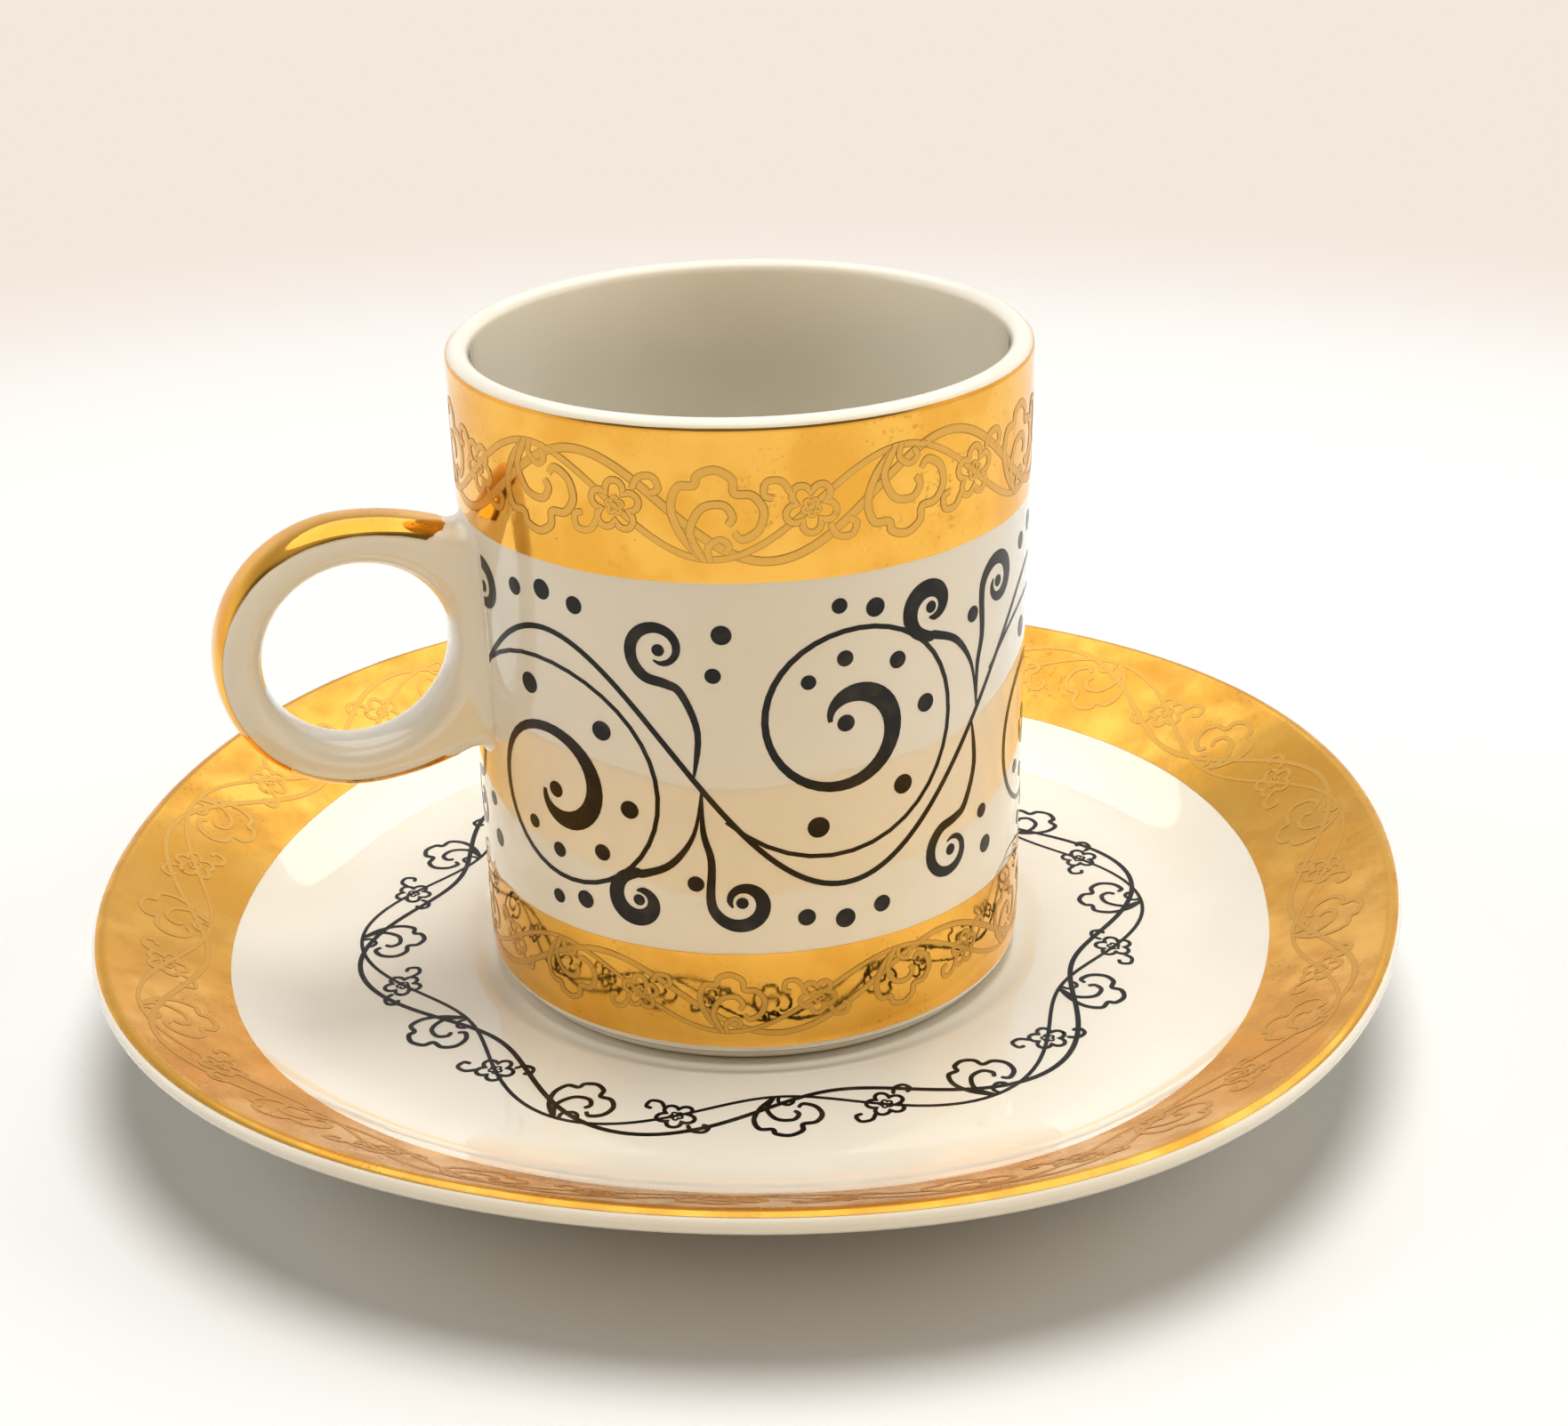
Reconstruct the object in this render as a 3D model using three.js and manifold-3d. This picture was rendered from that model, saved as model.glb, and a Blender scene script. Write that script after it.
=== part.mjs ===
// Espresso cup and saucer in white porcelain with gold bands: a straight cup with a ring handle
// standing in the shallow seat of a saucer whose outline is a soft rounded square.
// Millimetres, +Z up. Origin: centre of the saucer's foot ring, on the table. The handle points along -X.

import * as THREE from 'three';
import { mergeVertices } from 'three/addons/utils/BufferGeometryUtils.js';
import Module from 'manifold-3d';

// Saucer sizes
const saucerRadius = 62.3;
const saucerLobe = 0.0155;
const saucerTurn = THREE.MathUtils.degToRad(16.5);
const saucerCorners = 4;
const saucerRimRise = 9.4;
const saucerRimThickness = 2.0;
const saucerFloorThickness = 3.2;
const saucerFootRadius = 34;
const saucerFootWidth = 3;
const saucerFootHeight = 2;
const saucerFootFlank = 1.5;
const saucerEdgeUnderTurn = -60;
const saucerRimWidth = 11.9;
const wellRise = 3.3;
const wellSlopeWidth = 9;
const seatRadius = 28.6;
const seatDepth = 0.7;
const seatShoulder = 3;

// Cup sizes
const cupHeight = 60.1;
const cupRimRadius = 26;
const cupBaseRadius = 25.4;
const cupWall = 2.1;
const cupFloorThickness = 3.6;
const cupBaseRound = 0.8;
const cupFootRadius = 24.4;
const cupFootWidth = 2.6;
const cupFootHeight = 1;
const cupFootChamfer = 0.25;
const cupFootFlank = 0.5;
const cupBaseRoundStart = -70;
const cupInnerRound = 5;

// Gold layers
const goldThickness = 0.2;
const goldGap = 0.05;
const upperBandDrop = 1.3;
const upperBandHeight = 12.5;
const lowerBandMargin = 0.1;
const lowerBandHeight = 9.5;
const rimBandMargin = 0.1;
const handleLineEnd = THREE.MathUtils.degToRad(55);
const handleLineHalfWrap = THREE.MathUtils.degToRad(66);

// Handle sizes
const handleHoleRadius = 8.4;
const handleBand = 4.1;
const handleWidth = 6.1;
const handleWebToHole = 2.2;
const handleDropBelowBand = 11;
const handleRootHalfHeight = 10.1;
const handleRootFlare = 1.5;
const handleRootDepth = 1.85;
const handleSquareness = 0.8;

// Clearances and smoothness
const cupSeatGap = 0.05;
const handleJointGap = 0.3;
const roundSteps = 72;
const handleSteps = 56;
const handleSectionSteps = 12;
const filletSteps = 4;

// Radii and heights that the sizes above set
const wellRadius = saucerRadius - saucerRimWidth;
const wellFloorRadius = wellRadius - wellSlopeWidth;
const seatZ = saucerFootHeight + saucerFloorThickness;
const cupZ = seatZ + cupSeatGap;
const upperBandBottom = cupHeight - upperBandDrop - upperBandHeight;
const lowerBandBottom = cupFootHeight + cupBaseRound + lowerBandMargin;
const handleHeight = upperBandBottom - handleDropBelowBand;

const porcelain = new THREE.MeshStandardMaterial({ color: 0xf3efe8, roughness: 0.12, metalness: 0 });
const gold = new THREE.MeshStandardMaterial({ color: 0xd8a548, roughness: 0.18, metalness: 1 });

const wasm = await Module();
wasm.setup();

function point(radius, height) {
  return new THREE.Vector2(radius, height);
}

// A quarter-round or other arc of a profile about a centre, from one angle to another in degrees.
function arc(centre, radius, fromDegrees, toDegrees) {
  const points = [];
  for (let step = 0; step <= filletSteps; step += 1) {
    const degrees = THREE.MathUtils.lerp(fromDegrees, toDegrees, step / filletSteps);
    const angle = THREE.MathUtils.degToRad(degrees);
    points.push(point(centre.x + radius * Math.cos(angle), centre.y + radius * Math.sin(angle)));
  }
  return points;
}

// Points of a smooth S-shaped step between two profile points, level at both ends.
function easeBetween(start, end) {
  const points = [];
  for (let step = 1; step < filletSteps; step += 1) {
    const share = step / filletSteps;
    const eased = share * share * (3 - 2 * share);
    const radius = THREE.MathUtils.lerp(start.x, end.x, share);
    points.push(point(radius, THREE.MathUtils.lerp(start.y, end.y, eased)));
  }
  return points;
}

// Points of a curve that leaves its start in a slope and runs out level at its end.
function curveBetween(start, end) {
  const points = [];
  for (let step = 1; step < filletSteps; step += 1) {
    const share = step / filletSteps;
    const left = (1 - share) ** 2;
    const radius = THREE.MathUtils.lerp(start.x, end.x, share);
    points.push(point(radius, THREE.MathUtils.lerp(end.y, start.y, left)));
  }
  return points;
}

// The lathe's own axis is Y, so its geometry is stood up along Z.
function turned(profile) {
  const lathe = new THREE.LatheGeometry(profile, roundSteps);
  lathe.rotateX(Math.PI / 2);
  return welded(lathe);
}

// One vertex for each corner, and no triangle that has shrunk to a line on the axis.
function welded(geometry) {
  geometry.deleteAttribute('normal');
  geometry.deleteAttribute('uv');
  const merged = mergeVertices(geometry, 1e-5);
  const corners = merged.index.array;
  const faces = [];
  for (let index = 0; index < corners.length; index += 3) {
    const [a, b, c] = corners.slice(index, index + 3);
    if (a !== b && b !== c && c !== a) {
      faces.push(a, b, c);
    }
  }
  merged.setIndex(faces);
  return merged;
}

// How far the saucer's outline swells or draws in at an angle, as a share of its mean radius.
function lobeAt(angle) {
  return 1 + saucerLobe * Math.cos(saucerCorners * (angle - saucerTurn));
}

// Outside the seat the saucer's radii follow its rounded-square outline, growing in up to the well's edge.
function lobed(geometry) {
  const places = geometry.getAttribute('position');
  for (let index = 0; index < places.count; index += 1) {
    const x = places.getX(index);
    const y = places.getY(index);
    const radius = Math.hypot(x, y);
    const share = THREE.MathUtils.smoothstep(radius, saucerFootRadius, wellRadius);
    const scale = THREE.MathUtils.lerp(1, lobeAt(Math.atan2(y, x)), share);
    places.setXY(index, x * scale, y * scale);
  }
  return geometry;
}

function solidFrom(geometry) {
  const triVerts = new Uint32Array(geometry.index.array);
  const vertProperties = new Float32Array(geometry.getAttribute('position').array);
  return new wasm.Manifold(new wasm.Mesh({ numProp: 3, vertProperties, triVerts }));
}

function geometryFrom(solid) {
  const mesh = solid.getMesh();
  const geometry = new THREE.BufferGeometry();
  geometry.setAttribute('position', new THREE.BufferAttribute(mesh.vertProperties, 3));
  geometry.setIndex(new THREE.BufferAttribute(mesh.triVerts, 1));
  return geometry;
}

// A closed surface from rings of points, each of the same count and closed on itself. The rings either
// close into a loop, or have a cap at each end, across a ring whose two halves lie side by side.
function closedRings(rings, isLoop) {
  const count = rings[0].length;
  const positions = rings.flat().flatMap((place) => place.toArray());
  const faces = [];
  const last = isLoop ? rings.length : rings.length - 1;
  for (let ring = 0; ring < last; ring += 1) {
    const next = (ring + 1) % rings.length;
    for (let step = 0; step < count; step += 1) {
      const beside = (step + 1) % count;
      const corner = ring * count + step;
      const across = ring * count + beside;
      const above = next * count + step;
      const diagonal = next * count + beside;
      faces.push(corner, diagonal, across, corner, above, diagonal);
    }
  }
  if (!isLoop) {
    const end = (rings.length - 1) * count;
    for (let step = 0; step < count / 2 - 1; step += 1) {
      const facing = count - 1 - step;
      faces.push(step, step + 1, facing - 1, step, facing - 1, facing);
      faces.push(end + step, end + facing - 1, end + step + 1, end + step, end + facing, end + facing - 1);
    }
  }
  const geometry = new THREE.BufferGeometry();
  geometry.setAttribute('position', new THREE.Float32BufferAttribute(positions, 3));
  geometry.setIndex(faces);
  return geometry;
}

// Height of the saucer's upper face at a radius on the gold rim, which rises in a straight slope.
const rimSlope = (saucerRimRise - wellRise) / (saucerRadius - saucerRimThickness / 2 - wellRadius);

function rimFaceAt(radius) {
  return seatZ + wellRise + rimSlope * (radius - wellRadius);
}

function saucerGeometry() {
  const floorZ = seatZ + seatDepth;
  const edgeRadius = saucerRimThickness / 2;
  const edge = point(saucerRadius - edgeRadius, rimFaceAt(saucerRadius - edgeRadius) - edgeRadius);
  const underTurn = point(wellRadius, seatZ + wellRise - saucerFloorThickness);
  const seatEdge = point(seatRadius - seatShoulder, seatZ);
  const floorEdge = point(seatRadius, floorZ);
  const wellFloor = point(wellFloorRadius, floorZ);
  const wellEdge = point(wellRadius, seatZ + wellRise);
  const footInner = saucerFootRadius - saucerFootWidth;
  const underFloor = saucerFootHeight + seatDepth;
  const profile = [
    point(0, saucerFootHeight),
    point(footInner - saucerFootFlank, saucerFootHeight),
    point(footInner, 0),
    point(saucerFootRadius, 0),
    point(saucerFootRadius + saucerFootFlank, saucerFootHeight),
    point(wellFloorRadius, underFloor),
    underTurn,
    ...arc(edge, edgeRadius, saucerEdgeUnderTurn, 90),
    wellEdge,
    ...curveBetween(wellEdge, wellFloor),
    wellFloor,
    floorEdge,
    ...easeBetween(floorEdge, seatEdge),
    seatEdge,
    point(0, seatZ),
  ];
  return lobed(turned(profile));
}

function cupWallAt(height) {
  return THREE.MathUtils.lerp(cupBaseRadius, cupRimRadius, height / cupHeight);
}

function cupGeometry() {
  const lipRadius = cupWall / 2;
  const lip = point(cupRimRadius - lipRadius, cupHeight - lipRadius);
  const bottomWall = cupWallAt(cupFootHeight + cupBaseRound);
  const innerBase = bottomWall - cupWall;
  const innerCentre = point(innerBase - cupInnerRound, cupFloorThickness + cupInnerRound);
  const baseCentre = point(bottomWall - cupBaseRound, cupFootHeight + cupBaseRound);
  const footTop = cupFootRadius - cupFootWidth;
  const profile = [
    point(0, cupFootHeight),
    point(footTop - cupFootFlank, cupFootHeight),
    point(footTop, 0),
    point(cupFootRadius - cupFootChamfer, 0),
    point(cupFootRadius, cupFootChamfer),
    ...arc(baseCentre, cupBaseRound, cupBaseRoundStart, 0),
    ...arc(lip, lipRadius, 0, 180),
    ...arc(innerCentre, cupInnerRound, 0, -90),
    point(0, cupFloorThickness),
  ];
  return turned(profile);
}

// A thin gold layer round the cup's wall between two heights, following the wall's slight taper.
function cupBandGeometry(bottom, height) {
  const inner = (z) => cupWallAt(z) + goldGap;
  const outer = (z) => inner(z) + goldThickness;
  const top = bottom + height;
  const profile = [
    point(inner(bottom), bottom),
    point(outer(bottom), bottom),
    point(outer(top), top),
    point(inner(top), top),
    point(inner(bottom), bottom),
  ];
  return turned(profile);
}

function saucerBandGeometry() {
  const start = wellRadius + rimBandMargin;
  const end = saucerRadius - saucerRimThickness / 2 - rimBandMargin;
  const under = (radius) => rimFaceAt(radius) + goldGap;
  const profile = [
    point(start, under(start)),
    point(end, under(end)),
    point(end, under(end) + goldThickness),
    point(start, under(start) + goldThickness),
    point(start, under(start)),
  ];
  return lobed(turned(profile));
}

// The ring handle lies in the XZ plane. Angles run about its hole's centre, from 0 at the far side.
const handleCentre = cupWallAt(handleHeight) + handleWebToHole + handleHoleRadius;
const handleOuterRadius = handleHoleRadius + handleBand;

// Outer contour: round on the far side, then drawn in along straight flanks to the root on the wall.
function handleReachAt(angle) {
  const toWall = handleCentre - cupWallAt(handleHeight);
  const across = Math.max(0, -Math.cos(angle));
  const share = Math.min(1, (across * handleOuterRadius) / toWall);
  const flank = THREE.MathUtils.lerp(handleOuterRadius, handleRootHalfHeight, share * share);
  const rootReach = Math.hypot(toWall + handleRootDepth, handleRootHalfHeight);
  const climb = Math.abs(Math.sin(angle));
  const reach = across > 0 ? flank / Math.max(climb, flank / rootReach) : handleOuterRadius;
  const inWall = (toWall + handleRootDepth) / Math.max(across, Number.EPSILON);
  return Math.min(reach, inWall);
}

function handleHalfWidthAt(angle) {
  const across = Math.max(0, -Math.cos(angle));
  return handleWidth / 2 + handleRootFlare * across ** 3;
}

// Fuller corners than an ellipse has, for a section with flatter sides.
function squared(value) {
  return Math.sign(value) * Math.abs(value) ** handleSquareness;
}

// A point on or above the handle's skin: angle round the hole, turn round the section, and lift off the skin.
function handleSkin(angle, turn, lift) {
  const reach = handleReachAt(angle);
  const middle = (handleHoleRadius + reach) / 2;
  const radial = (reach - handleHoleRadius) / 2 + lift;
  const sideways = handleHalfWidthAt(angle) + lift;
  const radius = middle + radial * squared(Math.cos(turn));
  return new THREE.Vector3(
    -handleCentre - radius * Math.cos(angle),
    sideways * squared(Math.sin(turn)),
    handleHeight + radius * Math.sin(angle),
  );
}

function handleGeometry() {
  const rings = [];
  for (let step = 0; step < handleSteps; step += 1) {
    const angle = (step / handleSteps) * 2 * Math.PI;
    const ring = [];
    for (let side = 0; side < handleSectionSteps; side += 1) {
      ring.push(handleSkin(angle, (side / handleSectionSteps) * 2 * Math.PI, 0));
    }
    rings.push(ring);
  }
  const ring = solidFrom(closedRings(rings, true));
  const wall = [
    point(0, -cupHeight),
    point(cupWallAt(0) + handleJointGap, -cupHeight),
    point(cupWallAt(0) + handleJointGap, 0),
    point(cupWallAt(cupHeight) + handleJointGap, cupHeight),
    point(0, cupHeight),
  ];
  return geometryFrom(ring.subtract(solidFrom(turned(wall))));
}

// The gold line wraps the handle's outer spine from near the upper root round to near the lower one.
function handleLineGeometry() {
  const rings = [];
  const sweep = 2 * Math.PI - 2 * handleLineEnd;
  const steps = Math.round((handleSteps * sweep) / (2 * Math.PI));
  const wraps = handleSectionSteps / 2;
  for (let step = 0; step <= steps; step += 1) {
    const angle = (sweep * step) / steps - sweep / 2;
    const ring = [];
    for (let side = 0; side <= wraps; side += 1) {
      const turn = THREE.MathUtils.lerp(-handleLineHalfWrap, handleLineHalfWrap, side / wraps);
      ring.push(handleSkin(angle, turn, goldGap + goldThickness));
    }
    for (let side = wraps; side >= 0; side -= 1) {
      const turn = THREE.MathUtils.lerp(-handleLineHalfWrap, handleLineHalfWrap, side / wraps);
      ring.push(handleSkin(angle, turn, goldGap));
    }
    rings.push(ring);
  }
  return closedRings(rings, false);
}

function piece(name, geometry, material) {
  const mesh = new THREE.Mesh(geometry, material);
  mesh.name = name;
  return mesh;
}

const saucer = new THREE.Group();
saucer.add(piece('saucer', saucerGeometry(), porcelain));
saucer.add(piece('saucer_gold_rim', saucerBandGeometry(), gold));

const cup = new THREE.Group();
cup.position.z = cupZ;
cup.add(piece('cup_body', cupGeometry(), porcelain));
cup.add(piece('cup_handle', handleGeometry(), porcelain));
cup.add(piece('upper_gold_band', cupBandGeometry(upperBandBottom, upperBandHeight), gold));
cup.add(piece('lower_gold_band', cupBandGeometry(lowerBandBottom, lowerBandHeight), gold));
cup.add(piece('handle_gold_line', handleLineGeometry(), gold));

const cupAndSaucer = new THREE.Group();
cupAndSaucer.add(saucer, cup);

export default cupAndSaucer;
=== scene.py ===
import math

import bpy
from mathutils import Matrix, Vector


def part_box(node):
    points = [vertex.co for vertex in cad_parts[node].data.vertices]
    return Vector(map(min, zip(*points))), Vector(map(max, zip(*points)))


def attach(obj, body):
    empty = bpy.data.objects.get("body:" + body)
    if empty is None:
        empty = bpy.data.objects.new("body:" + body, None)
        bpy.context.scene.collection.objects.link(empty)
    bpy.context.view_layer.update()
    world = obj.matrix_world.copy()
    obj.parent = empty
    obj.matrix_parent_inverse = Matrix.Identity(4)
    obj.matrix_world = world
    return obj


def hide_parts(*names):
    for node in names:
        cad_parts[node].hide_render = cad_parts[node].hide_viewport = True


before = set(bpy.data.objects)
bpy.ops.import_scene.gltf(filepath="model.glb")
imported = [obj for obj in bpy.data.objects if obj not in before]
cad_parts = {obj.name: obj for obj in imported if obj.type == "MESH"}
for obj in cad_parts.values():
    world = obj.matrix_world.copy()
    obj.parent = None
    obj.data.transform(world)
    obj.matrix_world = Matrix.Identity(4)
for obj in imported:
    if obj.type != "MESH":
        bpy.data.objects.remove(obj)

bl_info = {
    "name": "Espresso Cup and Saucer",
    "version": (1, 0, 0),
    "blender": (4, 5, 0),
    "location": "3D View > Sidebar > Espresso",
    "description": "A gold-banded porcelain espresso cup with a ring handle, on its saucer",
    "category": "Add Mesh",
}

# Shared measures
MM = 0.001
FULL_TURN = 2 * math.pi
ROUND_STEPS = 288
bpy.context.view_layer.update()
CUP_LOW, CUP_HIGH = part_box("cup_body")
SAUCER_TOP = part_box("saucer")[1].z
UPPER_LOW, UPPER_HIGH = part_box("upper_gold_band")
LOWER_LOW, LOWER_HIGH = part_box("lower_gold_band")
BANDS = (("upper", UPPER_LOW.z, UPPER_HIGH.z), ("lower", LOWER_LOW.z, LOWER_HIGH.z))
HANDLE_LOW, HANDLE_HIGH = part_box("cup_handle")
SHARP_ANGLE = math.radians(50)
TINY = 1e-6


def length(name, description, default):
    """A size in metres that a user can change in the sidebar."""
    return bpy.props.FloatProperty(
        name=name, description=description, default=default, unit="LENGTH", precision=5)


def angle(name, description, degrees):
    """An angle that a user can change in the sidebar."""
    return bpy.props.FloatProperty(
        name=name, description=description, default=math.radians(degrees), subtype="ANGLE")


def colour(name, description, default):
    """A colour that a user can change in the sidebar."""
    return bpy.props.FloatVectorProperty(
        name=name, description=description, default=default, subtype="COLOR", min=0, max=1)


def amount(name, description, default):
    """A plain number that a user can change in the sidebar."""
    return bpy.props.FloatProperty(name=name, description=description, default=default)


def count(name, description, default):
    """A whole number that a user can change in the sidebar."""
    return bpy.props.IntProperty(name=name, description=description, default=default, min=1)


class CupSizes(bpy.types.PropertyGroup):
    """Sizes of the cup's body."""

    rim_radius: length("Rim radius", "Outer radius of the wall at the lip", CUP_HIGH.x)
    base_radius: length("Base radius", "Outer radius of the wall at the base", 25.4 * MM)
    foot_z: length("Foot height", "Height of the cup's foot over the table", CUP_LOW.z)
    lip_z: length("Lip height", "Height of the lip over the table", CUP_HIGH.z)
    wall: length("Wall", "Thickness of the wall", 2.1 * MM)
    floor: length("Floor", "Thickness of the floor over the foot", 3.6 * MM)
    base_round: length("Base round", "Radius of the round at the base", 0.8 * MM)
    inner_round: length("Inner round", "Radius between the inside wall and floor", 5 * MM)
    foot_radius: length("Foot radius", "Outer radius of the foot ring", 24.4 * MM)
    foot_width: length("Foot width", "Width of the foot ring", 2.6 * MM)
    foot_height: length("Foot rise", "Height of the foot ring", 1 * MM)


class HandleSizes(bpy.types.PropertyGroup):
    """Sizes of the ring handle."""

    hole_radius: length("Hole radius", "Radius of the finger hole", 8.4 * MM)
    band: length("Band", "Thickness of the ring, seen from the side", 4.1 * MM)
    width: length("Width", "Width of the ring, seen from its end", 6.1 * MM)
    web: length("Web", "Least thickness between the hole and the wall", 2.2 * MM)
    root_half: length("Root half height", "Half the handle's height where it meets the wall", 10.1 * MM)
    root_depth: length("Root depth", "How far the root reaches into the wall", 0.75 * MM)
    flare: length("Flare", "How far the root's fillet spreads on the wall", 1.6 * MM)
    fillet: length("Fillet", "Length of the root's fillet along the handle", 1.9 * MM)
    sink: length("Sink", "How far the fillet's thin edge lies inside the wall", 0.06 * MM)
    centre_z: length("Height", "Height of the hole's centre", (HANDLE_LOW.z + HANDLE_HIGH.z) / 2)
    squareness: amount("Squareness", "Power that flattens the section's sides", 0.78)
    line_end: angle("Line end", "Angle between the wall and the gold line's ends", 52)
    line_wrap: angle("Line wrap", "Half the turn of the section under the gold line", 61)
    line_waist: amount("Line waist", "Share of that turn at the handle's far side", 0.68)


class SaucerSizes(bpy.types.PropertyGroup):
    """Sizes of the saucer."""

    radius: length("Radius", "Mean outer radius", 62.2 * MM)
    lobe: amount("Lobe", "Swell of the four corners, as a share of the radius", 0.0155)
    lobe_turn: angle("Corner turn", "Angle of the first corner", 16.5)
    rim_width: length("Rim width", "Width of the sloping rim", 11.9 * MM)
    rim_thickness: length("Rim thickness", "Thickness of the rim's edge", 2 * MM)
    edge_z: length("Edge height", "Height of the rim's edge", SAUCER_TOP)
    seat_z: length("Seat height", "Height of the seat under the cup", 5.2 * MM)
    seat_depth: length("Seat depth", "Depth of the seat below the well", 0.7 * MM)
    seat_radius: length("Seat radius", "Radius of the seat's edge", 28.6 * MM)
    seat_shoulder: length("Seat shoulder", "Width of the step round the seat", 3 * MM)
    well_rise: length("Well rise", "Height of the well's edge over the seat", 3.3 * MM)
    well_slope: length("Well slope", "Width of the curve from the well's floor to its edge", 9 * MM)
    foot_radius: length("Foot radius", "Outer radius of the foot ring", 34 * MM)
    foot_width: length("Foot width", "Width of the foot ring", 3 * MM)
    foot_height: length("Foot height", "Height of the foot ring", 2 * MM)
    floor: length("Floor", "Thickness of the floor", 3.2 * MM)


class DecorSizes(bpy.types.PropertyGroup):
    """Sizes and counts of the gold layers, the etched vines and the black strokes."""

    gold_lift: length("Gold lift", "How far a gold layer stands over the glaze", 0.05 * MM)
    edge_wobble: length("Edge wobble", "Unevenness of the hand-drawn gold edges", 0.05 * MM)
    stroke_lift: length("Stroke lift", "How far a stroke stands over what it lies on", 0.03 * MM)
    cup_vines: count("Cup vines", "Repeats of the vine round each band of the cup", 5)
    rim_vines: count("Rim vines", "Repeats of the vine round the saucer's gold rim", 9)
    ring_vines: count("Ring vines", "Repeats of the black vine in the saucer's well", 6)
    scroll_units: count("Scroll units", "Repeats of the black scrolls round the cup", 3)
    vine_stem: amount("Vine stem", "Width of an etched vine's stem, as a share of its half height", 0.148)
    ring_stem: amount("Ring stem", "Width of the black vine's stem, as a share of its half height", 0.115)
    scroll_width: length("Scroll width", "Width of the black scrolls' thin strokes", 0.58 * MM)
    lip_reach: angle("Lip reach", "How far the upper band runs up the lip's round", 24)
    ring_radius: length("Ring radius", "Mean radius of the black vine", 35 * MM)
    ring_half: length("Ring half width", "Half the width of the black vine", 4.3 * MM)


class Finishes(bpy.types.PropertyGroup):
    """Colours of the finishes."""

    glaze: colour("Glaze", "White glaze", (0.85, 0.805, 0.70))
    glaze_shade: colour("Glaze shade", "Faint mottling of the glaze", (0.81, 0.755, 0.635))
    speck: colour("Speck", "Iron specks in the glaze", (0.20, 0.13, 0.08))
    gold: colour("Gold", "Burnished gold", (0.955, 0.52, 0.095))
    gold_deep: colour("Deep gold", "Gold where it lies thicker", (0.86, 0.43, 0.06))
    gold_dull: colour("Dull gold", "Gold dulled by handling", (0.64, 0.315, 0.05))
    etched: colour("Etched gold", "Matte etched gold", (0.78, 0.44, 0.095))
    outline: colour("Outline", "Dark edge of an etched line", (0.26, 0.125, 0.02))
    ink: colour("Ink", "Black print", (0.008, 0.007, 0.006))
    ink_thin: colour("Thin ink", "Print where it lies thin", (0.035, 0.026, 0.018))


class StageLook(bpy.types.PropertyGroup):
    """Floor, light and camera."""

    floor: colour("Floor", "Pale floor", (0.775, 0.78, 0.78))
    floor_bounce: colour("Floor bounce", "Pale floor as it lights the object from below", (0.41, 0.40, 0.38))
    # The far floor's colour is painted shade: darker and warmer where the light falls off further away.
    far_floor_shade: colour("Far floor", "Pale floor further away", (0.905, 0.80, 0.71))
    surround: colour("Surround", "Pale surround that camera and reflections see", (1.0, 0.98, 0.945))
    overhead: amount("Overhead", "Strength of the surround straight overhead, where 1 is white", 0.5)
    in_front: amount("In front", "Strength of the surround above the camera, where 1 is white", 0.2)
    light: colour("Light", "Colour of the lamps above and at the sides", (1.0, 0.98, 0.945))
    soft_light: colour("Soft light", "Colour of the light from all round", (1.0, 0.93, 0.83))
    warm_light: colour("Warm light", "Colour of the weak lamp in front", (1.0, 0.78, 0.48))
    ambient: amount("Ambient", "Strength of the light from all round", 0.06)
    sky_power: amount("Sky power", "Watts of the large lamp above that only reflections see", 8.8)
    key_power: amount("Key power", "Watts of the lamp above", 9.4)
    back_power: amount("Back power", "Watts of the lamp above and behind", 1.8)
    side_power: amount("Side power", "Watts of each lamp at the sides", 4.3)
    fill_power: amount("Fill power", "Watts of the weak lamp in front", 3.2)
    focal_pixels: amount("Focal length", "Focal length in pixels of the frame", 2868)
    frame_width: amount("Frame width", "Width of the frame in pixels", 1763)
    distance: length("Distance", "Camera's distance from the cup's axis", 219.45 * MM)
    height: length("Height", "Camera's height over the cup's foot", 122.83 * MM)
    azimuth: angle("Azimuth", "Camera's turn round the cup", -18)
    pitch: angle("Pitch", "Camera's tilt downwards", 24.5)
    yaw: angle("Yaw", "Camera's turn to the right of the axis", 0.85)
    roll: angle("Roll", "Camera's roll", -1.15)


# Curves and outlines

def mix(start, end, share):
    """The value at a share of the way from start to end."""
    return start + (end - start) * share


def clamp(value):
    """The value held between 0 and 1."""
    return min(1.0, max(0.0, value))


def smooth(share):
    """A share that eases in and out."""
    share = clamp(share)
    return share * share * (3 - 2 * share)


def arc(centre, radius, start_degrees, end_degrees, steps=12):
    """Points of a circular arc in a profile, as (radius, height) pairs."""
    angles = [math.radians(mix(start_degrees, end_degrees, step / steps)) for step in range(steps + 1)]
    return [(centre[0] + radius * math.cos(turn), centre[1] + radius * math.sin(turn)) for turn in angles]


def line(start, end, guard=0.3 * MM, most=2.5 * MM):
    """Points between two profile points, with one close to each end so that shading stays flat between."""
    span = math.hypot(end[0] - start[0], end[1] - start[1])
    if span < 3 * guard:
        return []
    inner = max(1, math.ceil(span / most))
    shares = [guard / span] + [step / inner for step in range(1, inner)] + [1 - guard / span]
    return [(mix(start[0], end[0], share), mix(start[1], end[1], share)) for share in sorted(shares)]


def joined(*stretches):
    """One profile from stretches of points, with lines filled in between them."""
    profile = list(stretches[0])
    for stretch in stretches[1:]:
        profile += line(profile[-1], stretch[0]) + list(stretch)
    return profile


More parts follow.
